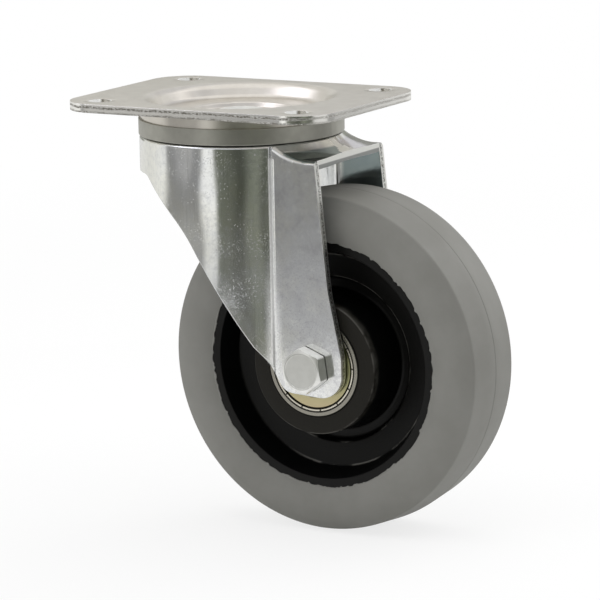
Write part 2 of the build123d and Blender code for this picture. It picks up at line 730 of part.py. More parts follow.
with BuildPart() as lock_nut:
    with BuildSketch(across_axle(FORK_HALF_WIDTH)):
        RegularPolygon(HEX_ACROSS_FLATS / 2, 6, major_radius=False)
    extrude(amount=LOCK_NUT_HEIGHT)
    with BuildSketch(WHEEL_SECTION):
        with BuildLine():
            Polyline(
                (0, FORK_HALF_WIDTH),
                (hex_corner_r, FORK_HALF_WIDTH),
                (hex_corner_r, lock_nut_face - hex_edge_drop),
                (hex_corner_r - HEX_EDGE, lock_nut_face),
                (0, lock_nut_face),
                close=True,
            )
        make_face()
    revolve(axis=AXLE, mode=Mode.INTERSECT)
    with BuildSketch(across_axle(lock_nut_face)):
        Circle(LOCK_NUT_COLLAR_R)
    extrude(amount=LOCK_NUT_COLLAR_HEIGHT)
    with BuildSketch(across_axle(FORK_HALF_WIDTH)):
        Circle(SHANK_HOLE_R)
    extrude(amount=LOCK_NUT_HEIGHT + LOCK_NUT_COLLAR_HEIGHT, mode=Mode.SUBTRACT)
    with BuildSketch(across_axle(insert_y)):
        Circle(SHANK_HOLE_R + LOCK_NUT_INSERT_T)
    extrude(amount=LOCK_NUT_INSERT_T, mode=Mode.SUBTRACT)
finish(lock_nut, "lock_nut")

with BuildPart() as lock_nut_insert:
    with BuildSketch(across_axle(insert_y)):
        Circle(SHANK_HOLE_R + LOCK_NUT_INSERT_T)
        Circle(AXLE_R, mode=Mode.SUBTRACT)
    extrude(amount=LOCK_NUT_INSERT_T)
finish(lock_nut_insert, "lock_nut_insert")
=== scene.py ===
# %% [markdown]
# # A swivel castor, dressed and lit
# The castor comes from CAD as a set of exact pieces in metres: a dished plate, a pressed fork,
# a wheel on two ball bearings and an axle bolt. This lesson keeps those pieces where they are.
# It gives each one a finish, remakes the few whose detail is finer than the CAD holds, and then
# lights and frames the whole.

# %% Load the packed model
from math import atan2, ceil, cos, degrees, hypot, pi, radians, sin, sqrt, tan

import bmesh
import bpy
from mathutils import Matrix, Vector, noise


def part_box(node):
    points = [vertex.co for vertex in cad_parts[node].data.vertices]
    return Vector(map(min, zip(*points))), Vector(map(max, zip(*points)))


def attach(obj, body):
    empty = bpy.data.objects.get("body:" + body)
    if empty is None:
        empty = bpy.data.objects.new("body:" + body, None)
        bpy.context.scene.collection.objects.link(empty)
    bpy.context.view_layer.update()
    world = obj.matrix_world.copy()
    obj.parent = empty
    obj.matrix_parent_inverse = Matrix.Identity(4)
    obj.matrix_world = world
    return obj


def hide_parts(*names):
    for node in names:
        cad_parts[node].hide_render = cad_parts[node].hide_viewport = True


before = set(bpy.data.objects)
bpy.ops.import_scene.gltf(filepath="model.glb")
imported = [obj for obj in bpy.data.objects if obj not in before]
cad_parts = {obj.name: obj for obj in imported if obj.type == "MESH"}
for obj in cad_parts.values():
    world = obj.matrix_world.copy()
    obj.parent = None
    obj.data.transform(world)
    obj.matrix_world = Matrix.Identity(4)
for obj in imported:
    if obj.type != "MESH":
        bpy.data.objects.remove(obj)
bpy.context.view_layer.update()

# %% [markdown]
# ## Where things are
# The main sizes that belong to the CAD are read from its boxes, so the scene follows the model if
# one of those changes. The wheel turns about the axle, which lies along Y through the middle of the
# tyre's box. The fork swivels about Z through the origin. "Near" is the -Y side.

# %% Measure the frame
MM = 0.001
tyre_low, tyre_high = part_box("tyre")
AXLE = (tyre_low + tyre_high) / 2
WHEEL_R = (tyre_high.z - tyre_low.z) / 2
TYRE_HALF_WIDTH = (tyre_high.y - tyre_low.y) / 2
FLOOR_Z = tyre_low.z
fork_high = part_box("fork")[1]
rim_lip_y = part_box("wheel_rim")[1].y
head_low, head_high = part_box("axle_bolt")
lock_low, lock_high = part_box("lock_nut")
pin_low, pin_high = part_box("kingpin")
pin_nut_low, pin_nut_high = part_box("kingpin_nut")
print("axle", tuple(round(v / MM, 2) for v in AXLE), "wheel radius", round(WHEEL_R / MM, 2))

# %% [markdown]
# ## Nodes from one function
# A finish, the world and a Geometry Nodes tree are all webs of nodes. Making a node takes the
# same steps every time: ask for its type, give it its settings, then give each socket a value
# or a link. The settings go first, because some of them change which sockets a node has.

# %% Make any node
def feed(tree, socket, value):
    """Give a socket a link, a colour or a plain value."""
    if isinstance(value, Wire):
        value = value.socket
    if isinstance(value, bpy.types.NodeSocket):
        tree.links.new(value, socket)
    elif socket.type == "RGBA":
        socket.default_value = (*value, 1) if len(value) == 3 else value
    else:
        socket.default_value = value


def add_node(tree, kind, inputs=None, stops=None, **settings):
    """A new node of that type. `stops` are the places and colours of a colour ramp."""
    made = tree.nodes.new(kind)
    for setting, value in settings.items():
        setattr(made, setting, value)
    if stops:
        ramp = made.color_ramp
        while len(ramp.elements) < len(stops):
            ramp.elements.new(0.5)
        for element, (place, colour) in zip(ramp.elements, stops):
            element.position = place
            element.color = (*colour, 1)
    for socket, value in (inputs or {}).items():
        feed(tree, made.inputs[socket], value)
    return made


print("every node below comes from", add_node.__name__)

# %% [markdown]
# ## Shader sums in plain Python
# Placing Math nodes one by one hides the idea behind them. A thin wrapper turns a node's output
# into something that adds, multiplies and compares like a number, and each sum on it adds its
# own node. `1 - mask` then reads as it would on paper.

# %% Wire: a socket that behaves like a number
class Wire:
    def __init__(self, tree, socket):
        self.tree = tree
        self.socket = socket

    def maths(self, operation, *values):
        node = add_node(self.tree, "ShaderNodeMath", dict(enumerate(values)), operation=operation)
        return Wire(self.tree, node.outputs[0])

    def __add__(self, other):
        return self.maths("ADD", self, other)

    def __sub__(self, other):
        return self.maths("SUBTRACT", self, other)

    def __rsub__(self, other):
        return self.maths("SUBTRACT", other, self)

    def __mul__(self, other):
        return self.maths("MULTIPLY", self, other)

    def __truediv__(self, other):
        return self.maths("DIVIDE", self, other)

    def __rtruediv__(self, other):
        return self.maths("DIVIDE", other, self)

    def __gt__(self, other):
        return self.maths("GREATER_THAN", self, other)

    def __lt__(self, other):
        return self.maths("LESS_THAN", self, other)

    def __abs__(self):
        return self.maths("ABSOLUTE", self)

    __radd__ = __add__
    __rmul__ = __mul__

    def root(self):
        return self.maths("SQRT", self)

    def wave(self):
        return self.maths("SINE", self)

    def least(self, other):
        return self.maths("MINIMUM", self, other)

    def most(self, other):
        return self.maths("MAXIMUM", self, other)

    def angle(self, other):
        return self.maths("ARCTAN2", self, other)

    def rise(self, low, high):
        """0 below low, 1 above high and smooth between; falls instead where low is above high."""
        low_end, high_end = (0, 1) if low < high else (1, 0)
        sockets = {
            "Value": self,
            "From Min": min(low, high),
            "From Max": max(low, high),
            "To Min": low_end,
            "To Max": high_end,
        }
        node = add_node(
            self.tree, "ShaderNodeMapRange", sockets, interpolation_type="SMOOTHSTEP"
        )
        return Wire(self.tree, node.outputs["Result"])


def distance(across, along):
    """How far a point is from where both of its numbers are nought."""
    return (across * across + along * along).root()


print("a wire can", [name for name in vars(Wire) if not name.startswith("_")])

# %% [markdown]
# ## Patterns on a piece
# Two patterns do nearly all the work: a cloud of soft noise and a scatter of round specks. An
# image wrapped round each piece could hold the same marks, but it has to be unwrapped and it
# stretches. These are worked out in millimetres on the piece itself, so a grain keeps its real
# size, and it turns with its piece.

# %% Patterns: places, directions and noise
class Patterns:
    def __init__(self, tree):
        self.tree = tree

    def node(self, kind, inputs=None, **settings):
        return add_node(self.tree, kind, inputs, **settings)

    def place(self):
        """Where the shaded point is on the piece, in millimetres, as three numbers."""
        where = self.node("ShaderNodeTexCoord").outputs["Object"]
        split = self.node("ShaderNodeSeparateXYZ", {"Vector": where})
        return [Wire(self.tree, out) * (1 / MM) for out in split.outputs]

    def from_axle(self):
        """How far the shaded point is from the axle, in millimetres."""
        x, _, z = self.place()
        return distance(x - AXLE.x / MM, z - AXLE.z / MM)

    def facing(self):
        """The surface's direction in the piece's own frame, as three numbers."""
        normal = self.node("ShaderNodeNewGeometry").outputs["True Normal"]
        own = self.node(
            "ShaderNodeVectorTransform",
            {"Vector": normal},
            vector_type="NORMAL",
            convert_from="WORLD",
            convert_to="OBJECT",
        )
        split = self.node("ShaderNodeSeparateXYZ", {"Vector": own.outputs[0]})
        return [Wire(self.tree, out) for out in split.outputs]

    def cloud(self, size, detail=3.0, rough=0.55, stretch=(1, 1, 1), seed=0.0):
        """Soft noise from 0 to 1 whose blobs are about `size` millimetres across."""
        where = self.node("ShaderNodeTexCoord").outputs["Object"]
        moved = self.node(
            "ShaderNodeMapping", {"Vector": where, "Location": (seed,) * 3, "Scale": stretch}
        )
        sockets = {
            "Vector": moved.outputs[0],
            "Scale": 1 / (size * MM),
            "Detail": detail,
            "Roughness": rough,
        }
        return Wire(self.tree, self.node("ShaderNodeTexNoise", sockets).outputs[0])

    def specks(self, spacing, size, seed=0.0):
        """1 on round dots `spacing` apart that fade out `size` from their middle, 0 between."""
        where = self.node("ShaderNodeTexCoord").outputs["Object"]
        moved = self.node("ShaderNodeMapping", {"Vector": where, "Location": (seed,) * 3})
        sockets = {"Vector": moved.outputs[0], "Scale": 1 / (spacing * MM)}
        cells = self.node("ShaderNodeTexVoronoi", sockets)
        from_dot = Wire(self.tree, cells.outputs["Distance"])
        return from_dot.rise(size / spacing, 0.4 * size / spacing)


print("patterns are", [name for name in vars(Patterns) if not name.startswith("_")])

# %% [markdown]
# ## A finish under construction
# `Finish` holds one material while it is built, and draws on the patterns above. A finish is laid
# on like paint: a ground colour, then coats, each with a share that says where it covers. The
# relief is kept shallow, and a bevel in the shader rounds the sharp CAD edges so that they
# catch light. A real bevel on every edge would cost many faces for the same look.

# %% Finish: a material and its coats
class Finish(Patterns):
    def __init__(self, name, colour=(0.8, 0.8, 0.8), metallic=0.0, roughness=0.5, **constants):
        self.material = bpy.data.materials.new(name)
        self.material.use_nodes = True
        super().__init__(self.material.node_tree)
        self.tree.nodes.clear()
        self.shader = self.node("ShaderNodeBsdfPrincipled")
        self.output = self.node("ShaderNodeOutputMaterial", {"Surface": self.shader.outputs[0]})
        self.set("Base Color", colour)
        self.set("Metallic", metallic)
        self.set("Roughness", roughness)
        for socket, value in constants.items():
            self.set(socket.replace("_", " "), value)

    def set(self, socket, value):
        feed(self.tree, self.shader.inputs[socket], value)

    def blend(self, share, first, second):
        """A colour that goes from first to second as share goes from 0 to 1."""
        sockets = {"Factor": share, 6: first, 7: second}
        return self.node("ShaderNodeMix", sockets, data_type="RGBA").outputs[2]

    def layers(self, colour, *coats):
        """The colour under coats of (share, tone), laid one over another."""
        for share, tone in coats:
            colour = self.blend(share, colour, tone)
        return colour

    def relief(self, height, depth, rounded=0.0):
        """Bumps of `depth` millimetres where height is 1, over edges rounded by `rounded`."""
        sockets = {"Height": height, "Distance": depth * MM, "Strength": 1.0}
        if rounded:
            bevel = self.node("ShaderNodeBevel", {"Radius": rounded * MM}, samples=4)
            sockets["Normal"] = bevel.outputs[0]
        self.set("Normal", self.node("ShaderNodeBump", sockets).outputs[0])


finishes = {}


def keep(name, finish):
    """Store a finish under the name of the slot that it is for."""
    finishes[name] = finish.material
    print(name, "finish has", len(finish.tree.nodes), "nodes")


print("a finish can also", [name for name in vars(Finish) if not name.startswith("_")])


# %% [markdown]
# ## Zinc on pressed steel
# The fork is pressed from one sheet and then bright zinc plated. The finish has to know which
# part of the sheet it is on: a sheared edge, a fold, a leg or the round front. Such areas
# could be painted by hand on a texture. Here each is a mask, a sum on the point's place and on
# the way it faces, because that needs no unwrapping and is redone by changing a number.

# %% Where the fork's sheet was cut
FORK_BARREL_R = 48.0
CROWN_BELT = 11.5
BEHIND_X = 20


def cut_faces(zinc):
    """1 on the sheared edges, which face along the side view, never sideways or up."""
    x, y, z = zinc.place()
    _, facing_y, facing_z = zinc.facing()
    on_edge = (abs(facing_y) < 0.03) * (abs(facing_z) < 0.97)
    below_crown = z < fork_high.z / MM - CROWN_BELT
    inside_barrel = (x * x + y * y) < (FORK_BARREL_R - 0.2) ** 2
    behind = x > BEHIND_X
    return on_edge * below_crown.most(behind) * inside_barrel.most(behind)


print("the crown's belt reaches down to", round(fork_high.z / MM - CROWN_BELT, 1), "mm")

# %% [markdown]
# A painted highlight runs along the folds between the round front and the legs: a dull white
# line, which widens towards the foot of the fork.

# %% Painted highlight along the folds
FOLD_X, FOLD_Y = 34.4, 32.9
FOLD_SHIFT = 0.35


def painted_fold_highlight(zinc):
    """A painted highlight: 1 along the two folds, fading in below the crown."""
    x, y, z = zinc.place()
    from_fold = distance(x - (FOLD_X - FOLD_SHIFT), abs(y) - FOLD_Y)
    # A painted highlight, narrow below the crown and wider towards the foot.
    narrow = from_fold.rise(1.8, 0.6) * z.rise(-21, -25)
    wide = from_fold.rise(5.5, 1.0) * z.rise(-60, -120) * 0.7
    return (narrow + wide).least(1.0)


print("folds at x", FOLD_X, "y", FOLD_Y, "mm")

# %% [markdown]
# A sheared edge is not one tone. The punch leaves a bright strip where it slid in, then the
# steel tears and stays dark, and a thin bright burr ends it. Just under the crown, between the
# legs, the cut edge is darker.

# %% The bands of a sheared edge
LEG_OUTER_Y, LEG_INNER_Y = 33.0, 29.0
CROWN_UNDER = -27.7
BRIGHT_CUT, TORN_STEEL, UNDER_CROWN_TONE = (0.90, 0.90, 0.87), (0.10, 0.10, 0.09), (0.19, 0.20, 0.20)


def sheared_bands(zinc, cut, crumbs):
    """The torn strip as a mask, and the tone of the whole edge."""
    _, y, z = zinc.place()
    into_leg = (LEG_OUTER_Y - abs(y)).most(0) + (crumbs - 0.5) * 0.9
    torn = cut * into_leg.rise(1.1, 1.4) * into_leg.rise(3.4, 3.0) * (abs(y) > LEG_INNER_Y - 0.3)
    # Just under the crown, between the legs, the cut edge is darker.
    under = cut * (abs(y) < LEG_INNER_Y) * z.rise(CROWN_UNDER + 2.5, CROWN_UNDER + 1.9)
    tone = zinc.layers(
        BRIGHT_CUT,
        (torn * crumbs.rise(0.62, 0.35), TORN_STEEL),
        (under * 0.8, UNDER_CROWN_TONE),
    )
    return torn, tone


print("the legs are", LEG_OUTER_Y - LEG_INNER_Y, "mm thick")

# %% [markdown]
# Between the legs, under the crown, and in the near side of the hollow round the crown, the
# steel is painted a dark teal shade, and on the far side of that hollow a dull lilac as a painted
# reflection.

# %% Painted shade and reflection in the hollows
NEAR_HOLLOW, FAR_HOLLOW = (50.8, 52.2), (48.6, 50.5)
LEG_START = (35.0, 39.0)
FACING_UP = 0.6


def painted_hollow_shade(zinc):
    """1 as painted shade inside the legs and in the near hollow, then 1 as a painted reflection in
    the far hollow.
    """
    x, y, z = zinc.place()
    upwards = zinc.facing()[2] > FACING_UP
    inside = (abs(y) < LEG_INNER_Y + 0.2) * x.rise(*LEG_START) * (z < CROWN_UNDER + 0.2)
    from_swivel = distance(x, y)
    near = from_swivel.rise(*NEAR_HOLLOW) * y.rise(9, -6) * upwards
    far = from_swivel.rise(*FAR_HOLLOW) * y.rise(-6, 9) * upwards * (x > 0)
    return inside.most(near), far


print("the hollow starts", FAR_HOLLOW[0], "mm from the swivel axis")

# %% [markdown]
# Plating dries with small white faults: round dots all over, and a grit on the round front.
# Their white is partly the faults' own and partly painted glints. Faults that are spread evenly
# look printed, so both are let through only inside soft clouds.

# %% White specks and painted glints
DOT_SPACING, DOT_SIZE = 1.5, 0.23


def specks_and_painted_glints(zinc, on_front, crumbs):
    """How strongly a point is speckled white, as faults and as painted glints."""
    dots = zinc.specks(DOT_SPACING, DOT_SIZE, seed=1.3)
    dots = dots * zinc.cloud(11, seed=5.5).rise(0.38, 0.60)
    grit = crumbs.rise(0.56, 0.70) * zinc.cloud(16, detail=4, seed=8.1).rise(0.42, 0.60)
    return (dots * (on_front * 0.35 + 0.15)).most(grit * on_front * 0.30)


print("dots fade out", DOT_SIZE, "mm from their middle")

# %% [markdown]
# All of this is now put together. Plating is a mirror with small faults. Drawing lines run down
# the round front. The legs are cloudier, with a fine dark grain low down. A slow waviness left
# by the press makes every reflection wander, and it is the fault that the eye notices first.

# %% The fork's plated sheet
BLUE_GREY, STRAW = (0.80, 0.81, 0.82), (0.81, 0.81, 0.76)
MOTTLED, DRAWN_LINE = (0.58, 0.59, 0.61), (0.50, 0.51, 0.49)
DARK_BLOT, PALE_BLOT, PEPPER = (0.50, 0.49, 0.53), (0.95, 0.96, 0.92), (0.52, 0.51, 0.54)
WHITE_SPECK_AND_HIGHLIGHT, REFLECTED_LILAC, SHADE_TEAL = (0.97, 0.97, 0.95), (0.58, 0.56, 0.62), (0.21, 0.27, 0.28)


def fork_zinc():
    zinc = Finish("zinc_plated_fork", metallic=1.0)
    x, _, z = zinc.place()
    on_front = x.rise(FOLD_X + 0.6, FOLD_X - 0.6)
    on_legs = 1 - on_front
    cut, painted_highlight = cut_faces(zinc), painted_fold_highlight(zinc)
    # The patterns, from the widest to the finest.
    wavy = zinc.cloud(42, detail=1, stretch=(1, 1, 0.7), seed=6.1)
    tint = zinc.cloud(38, detail=4, rough=0.6, seed=3.1)
    blots = zinc.cloud(7.0, detail=8, rough=0.7, seed=9.9)
    drawn = zinc.cloud(3.5, detail=3, stretch=(1, 1, 0.08), seed=7.7)
    mottle = zinc.cloud(2.6, detail=5, rough=0.65)
    fine_drawn = zinc.cloud(0.9, detail=2, stretch=(1, 1, 0.05), seed=2.7)
    crumbs = zinc.cloud(0.8, detail=3, rough=0.7, seed=4.4)
    grain = zinc.cloud(0.5, detail=2)
    specks = specks_and_painted_glints(zinc, on_front, crumbs)
    hollow_shade, far_hollow_reflection = painted_hollow_shade(zinc)
    sheet = zinc.layers(
        BLUE_GREY,
        (tint.rise(0.35, 0.65), STRAW),
        (mottle.rise(0.40, 0.75) * 0.45, MOTTLED),
        (fine_drawn.rise(0.55, 0.8) * on_front * 0.3, DRAWN_LINE),
        (blots.rise(0.45, 0.75) * on_legs * 0.55, DARK_BLOT),
        (blots.rise(0.45, 0.3) * on_legs * 0.5, PALE_BLOT),
        # White for the specks, partly painted glints, and for the painted highlight along the
        # folds.
        (specks.most(painted_highlight), WHITE_SPECK_AND_HIGHLIGHT),
        (crumbs.rise(0.5, 0.62) * on_legs * z.rise(-45, -85) * 0.4, PEPPER),
        # A painted lilac reflection in the far hollow, then painted teal shade between the legs and
        # in the near hollow.
        (far_hollow_reflection * 0.75, REFLECTED_LILAC),
        (hollow_shade * 0.86, SHADE_TEAL),
    )
    torn, edge = sheared_bands(zinc, cut, crumbs)
    zinc.set("Base Color", zinc.blend(cut, sheet, edge))
    zinc.set("Metallic", 1 - specks.most(painted_highlight * 0.95))
    plated = 0.09 + mottle.rise(0.35, 0.8) * 0.10 + drawn.rise(0.45, 0.7) * on_front * 0.04
    zinc.set("Roughness", (plated + cut * 0.24 + painted_highlight * 0.30).least(0.6))
    height = mottle * 0.10 + drawn * on_front * 0.10 + specks * 0.8
    height = height + cut * grain * 1.2 + torn * crumbs * 2.0
    zinc.relief(height + wavy * (on_front * 55.0 + 8.0), 0.05, rounded=0.55)
    return zinc


keep("zinc_plated_fork", fork_zinc())

# %% [markdown]
# The plate is thicker stock with a satin coat, so its reflections are wide and soft. Its sheared
# edge has the two bands that every blanked edge has: a burnished strip where the punch slid in,
# and below it a darker, torn strip where the last of the thickness broke away. Punching the bolt
# holes drew the sheet in a little round each of them. Their walls are painted darker as shade,
# with a painted white glint at two sides.

# %% The top plate's satin zinc
PLATE_T = 4.0
HOLE_X, HOLE_Y, HOLE_WALL_R = 52.5, 40.0, 5.9
DISH_REACH = 52.0
BURNISHED = 0.9
SATIN, PALE_SATIN = (0.605, 0.572, 0.52), (0.665, 0.635, 0.58)
BURNISHED_STEEL, SHADED_HOLE_WALL = (0.88, 0.87, 0.84), (0.50, 0.48, 0.44)
GLINT, TORN_BROWN = (0.98, 0.98, 0.96), (0.12, 0.11, 0.09)


def plate_zinc():
    zinc = Finish("zinc_plated_plate", metallic=1.0)
    x, y, z = zinc.place()
    facing_x, _, facing_z = zinc.facing()
    mottle = zinc.cloud(9, detail=5, rough=0.6)
    crumbs = zinc.cloud(0.8, detail=4, rough=0.75)
    grain = zinc.cloud(0.7, detail=3)
    beside_dish = (x * x + y * y) > DISH_REACH**2
    upright = (abs(facing_z) < 0.2) * beside_dish * (z > -PLATE_T - 0.2)
    # The holes: their walls in painted shade, a painted glint at two sides of each, and the dip
    # round it.
    from_hole = distance(abs(x) - HOLE_X, abs(y) - HOLE_Y)
    hole_wall = upright * (from_hole < HOLE_WALL_R)
    glint = hole_wall * abs(abs(x) - HOLE_X).rise(1.6, 3.2)
    drawn_in = from_hole.rise(7.9, 5.6) * (1 - upright)
    # The plate's edge, from the top down: burnished, torn, burnished, torn.
    edge = upright * (1 - (from_hole < HOLE_WALL_R))
    depth = (zinc.cloud(5, detail=5) - 0.5) * 1.3 - z
    first_tear = depth.rise(BURNISHED - 0.15, BURNISHED + 0.15) * depth.rise(2.1, 1.7)
    last_tear = depth.rise(3.0, 3.4)
    rear_share = 1 - facing_x.rise(0.3, 0.8) * 0.6
    torn = edge * first_tear.most(last_tear * 0.8) * crumbs.rise(0.60, 0.46) * rear_share
    smooth = edge - torn
    tone = zinc.layers(
        SATIN,
        (mottle.rise(0.3, 0.7), PALE_SATIN),
        (smooth, BURNISHED_STEEL),
        # The hole walls in painted shade, then a painted glint at their two sides.
        (hole_wall, SHADED_HOLE_WALL),
        (glint, GLINT),
        (torn * 0.9, TORN_BROWN),
    )
    zinc.set("Base Color", tone)
    zinc.set("Metallic", 1 - glint * 0.9)
    zinc.set("Roughness", 0.27 + mottle * 0.08 + torn * 0.2 - smooth.most(hole_wall) * 0.12)
    height = mottle * 0.10 + grain * 0.05 + torn * crumbs * 2.5 - drawn_in * 9.0
    zinc.relief(height, 0.06, rounded=0.4)
    return zinc


keep("zinc_plated_plate", plate_zinc())

# %% [markdown]
# The fasteners are small zinc-plated forgings. Where the zinc faces up it is painted pale, as a
# highlight, and the bolt's face towards -Y is painted a little darker, as shade. Only the axle's
# bolt and nut get the painted highlight, low down. A second finish for those two would do, but a
# mask on height keeps all the fasteners in one.

# %% The fasteners' zinc
FORGING, DULL_FORGING = (0.86, 0.86, 0.83), (0.76, 0.76, 0.73)
SHADED_FACE, TOP_HIGHLIGHT = (0.45, 0.45, 0.42), (0.98, 0.98, 0.95)
TOP_HIGHLIGHT_BELOW = (-40, -60)


def fastener_zinc():
    zinc = Finish("zinc_plated_fastener", metallic=1.0)
    _, facing_y, facing_z = zinc.facing()
    patches = zinc.cloud(4, detail=4, rough=0.6)
    fine = zinc.cloud(0.6, detail=3)
    # A painted highlight on faces that look up, low down only; painted shade on faces towards -Y.
    top_highlight = facing_z.rise(0.30, 0.60) * zinc.place()[2].rise(*TOP_HIGHLIGHT_BELOW)
    tone = zinc.layers(
        FORGING,
        (patches.rise(0.35, 0.7), DULL_FORGING),
        (facing_y.rise(-0.93, -0.98) * 0.65, SHADED_FACE),
        (top_highlight * 0.9, TOP_HIGHLIGHT),
    )
    zinc.set("Base Color", tone)
    zinc.set("Metallic", 1 - top_highlight)
    zinc.set("Roughness", 0.26 + patches * 0.12 + fine * 0.06)
    zinc.relief(fine * 0.35 + patches * 0.5, 0.05, rounded=0.25)
    return zinc


keep("zinc_plated_fastener", fastener_zinc())

# %% [markdown]
# The dust ring is drawn steel left dull, and the balls are ground and polished. Both are one
# metal with soft patches, so one function makes them, with a grain whose strength varies.

# %% Dust ring and balls
RING_GREY, BALL_GREY = (0.39, 0.385, 0.345), (0.80, 0.80, 0.80)


def plain_metal(name, colour, roughness, blotch=0.0, grain=0.3, rounded=0.25):
    metal = Finish(name, metallic=1.0)
    patches = metal.cloud(5, detail=4, rough=0.6)
    fine = metal.cloud(0.6, detail=3)
    darker = [v * (1 - blotch) for v in colour]
    metal.set("Base Color", metal.blend(patches.rise(0.35, 0.7), colour, darker))
    metal.set("Roughness", roughness + patches * 0.10 + fine * 0.05)
    metal.relief(fine * grain + patches * 0.2, 0.05, rounded=rounded)
    return metal


keep("dark_ring", plain_metal("dark_ring", RING_GREY, 0.34, blotch=0.08, grain=0.1))
keep("ball_steel", plain_metal("ball_steel", BALL_GREY, 0.05, grain=0.0, rounded=0))

# %% [markdown]
# The bearing's shield is a thin pressed disc with a yellowish passivation, which runs from tan
# low down to olive higher up as a painted reflection. Turning marks run round it, so its relief
# is a wave of the distance from the axle. A ready-made ring pattern would do too, but this one
# stays centred on the axle whatever size the wheel has.

# %% The bearing shield
GROOVE_START = 18.9
TAN, OLIVE, GROOVE = (0.60, 0.48, 0.32), (0.46, 0.46, 0.24), (0.03, 0.028, 0.022)


def shield_steel():
    shield = Finish("shield_steel", metallic=1.0)
    z = shield.place()[2]
    radius = shield.from_axle()
    # The yellow tint is the passivation; its run from tan low down to olive higher up is a painted
    # reflection.
    passivation_and_reflection = shield.blend(z.rise(-150, -120), TAN, OLIVE)
    grooved = radius.rise(GROOVE_START, GROOVE_START + 0.3)
    shield.set("Base Color", shield.blend(grooved, passivation_and_reflection, GROOVE))
    shield.set("Roughness", 0.34 + shield.cloud(14, seed=2.2) * 0.1)
    shield.relief((radius * 9.0).wave() * 0.5 + shield.cloud(0.5) * 0.4, 0.02, rounded=0.15)
    return shield


keep("shield_steel", shield_steel())

# %% [markdown]
# The bearing's ring is ground steel. Its outer corner and the seat that holds the shield are
# painted black as shade, so the ring shows as a grey band between two black lines. The bands are
# masks on the distance from the axle, since real grooves that narrow would need a fine mesh.

# %% The bearing rings
CRIMP_TONE, RING_TONE, SHADE_BLACK = (0.74, 0.70, 0.60), (0.30, 0.285, 0.245), (0.02, 0.02, 0.018)


def bearing_steel():
    steel = Finish("bearing_steel", metallic=1.0)
    radius = steel.from_axle()
    fine = steel.cloud(0.6, detail=3)
    # Painted shade: black lines on the shield's seat and on the ring's outer corner.
    seat = radius.rise(20.65, 20.8) * radius.rise(21.5, 21.3)
    painted_shade = seat.most(radius.rise(22.8, 23.1))
    tone = steel.layers(CRIMP_TONE, (radius.rise(20.7, 21.2), RING_TONE), (painted_shade, SHADE_BLACK))
    steel.set("Base Color", tone)
    steel.set("Roughness", 0.22 + fine * 0.1 + painted_shade * 0.2)
    steel.relief(fine * 0.2, 0.03, rounded=0.2)
    return steel


keep("bearing_steel", bearing_steel())

# %% [markdown]
# ## Rubber, black plastic and nylon
# The tyre is a grey, non-marking rubber moulded on to the rim. It is matt with a faint sheen,
# slightly cloudy in tone, keeps the fine texture of its mould, and holds a little pale dust.
# Each of the three is one pattern, and the same patterns drive its colour, gloss and relief, so
# that a speck of dust is pale, matt and raised in the same spot.

# %% Rubber
RUBBER_GREY, PALE_RUBBER, DUST = (0.202, 0.199, 0.181), (0.224, 0.221, 0.203), (0.33, 0.32, 0.30)


def grey_rubber():
    rubber = Finish("grey_rubber", roughness=0.6, Specular_IOR_Level=0.35)
    cloudy = rubber.cloud(22, detail=5, rough=0.6)
    fine = rubber.cloud(0.55, detail=2)
    dust = rubber.specks(6.5, 0.35, seed=4.0) * (rubber.cloud(30, seed=8.8) > 0.55)
    tone = rubber.layers(
        RUBBER_GREY, (cloudy.rise(0.3, 0.7), PALE_RUBBER), (dust * 0.3, DUST)
    )
    rubber.set("Base Color", tone)
    rubber.set("Roughness", 0.50 + cloudy * 0.12 + fine * 0.06)
    rubber.relief(fine * 0.5 + cloudy * 0.6 + dust * 0.5, 0.04, rounded=0.3)
    return rubber


keep("grey_rubber", grey_rubber())

# %% [markdown]
# The rim is a black plastic moulding, almost without colour of its own, so what shows is its
# gloss. Its specular level is low, or the studio would turn it grey. Faces that look along the
# axle are painted lighter than the deep black walls of the recess, as painted light and shade.
# The boss was left matt by the mould and is painted lighter still, as lit, and painted
# highlights lie on the edges, on the side towards +X.

# %% Black plastic
HIGHLIGHT_EDGES = ((31.4, 0.5), (39.4, 1.0), (50.1, 1.0))
JET, LIT_FACE_BLACK, JET_PATCH = (0.0006, 0.0007, 0.0007), (0.006, 0.0058, 0.005), (0.003,) * 3
LIT_BOSS, EDGE_HIGHLIGHT = (0.012, 0.0108, 0.0080), (0.16, 0.155, 0.14)


def black_plastic():
    plastic = Finish("black_plastic", roughness=0.4, Specular_IOR_Level=0.15)
    x, y, _ = plastic.place()
    radius = plastic.from_axle()
    patches = plastic.cloud(12, detail=4)
    fine = plastic.cloud(0.7, detail=3)
    # The boss face is painted lighter as lit, and faces that look along the axle are painted
    # lighter than the recess walls, as light and shade.
    boss_face = (abs(y) > 24.0) * radius.rise(33.0, 31.0)
    lit_sideways = abs(plastic.facing()[1]).rise(0.5, 0.9)
    on_an_edge = 0.0
    # Painted highlights on the edges at these radii, on the side towards +X only.
    for edge_r, share in HIGHLIGHT_EDGES:
        on_it = radius.rise(edge_r - 0.6, edge_r) * radius.rise(edge_r + 0.6, edge_r) * share
        on_an_edge = on_it.most(on_an_edge)
    painted_highlight = on_an_edge * patches.rise(0.42, 0.58) * (x - AXLE.x / MM).rise(-30, -5)
    tone = plastic.layers(
        JET,
        (lit_sideways, LIT_FACE_BLACK),
        (patches * 0.4, JET_PATCH),
        (boss_face, LIT_BOSS),
        (painted_highlight * 0.8, EDGE_HIGHLIGHT),
    )
    plastic.set("Base Color", tone)
    plastic.set("Roughness", 0.34 + patches * 0.12 + boss_face * 0.12)
    height = fine * 0.4 + (radius * 5.0).wave() * 0.12 + patches * 0.3
    plastic.relief(height, 0.05, rounded=0.35)
    return plastic


keep("black_plastic", black_plastic())

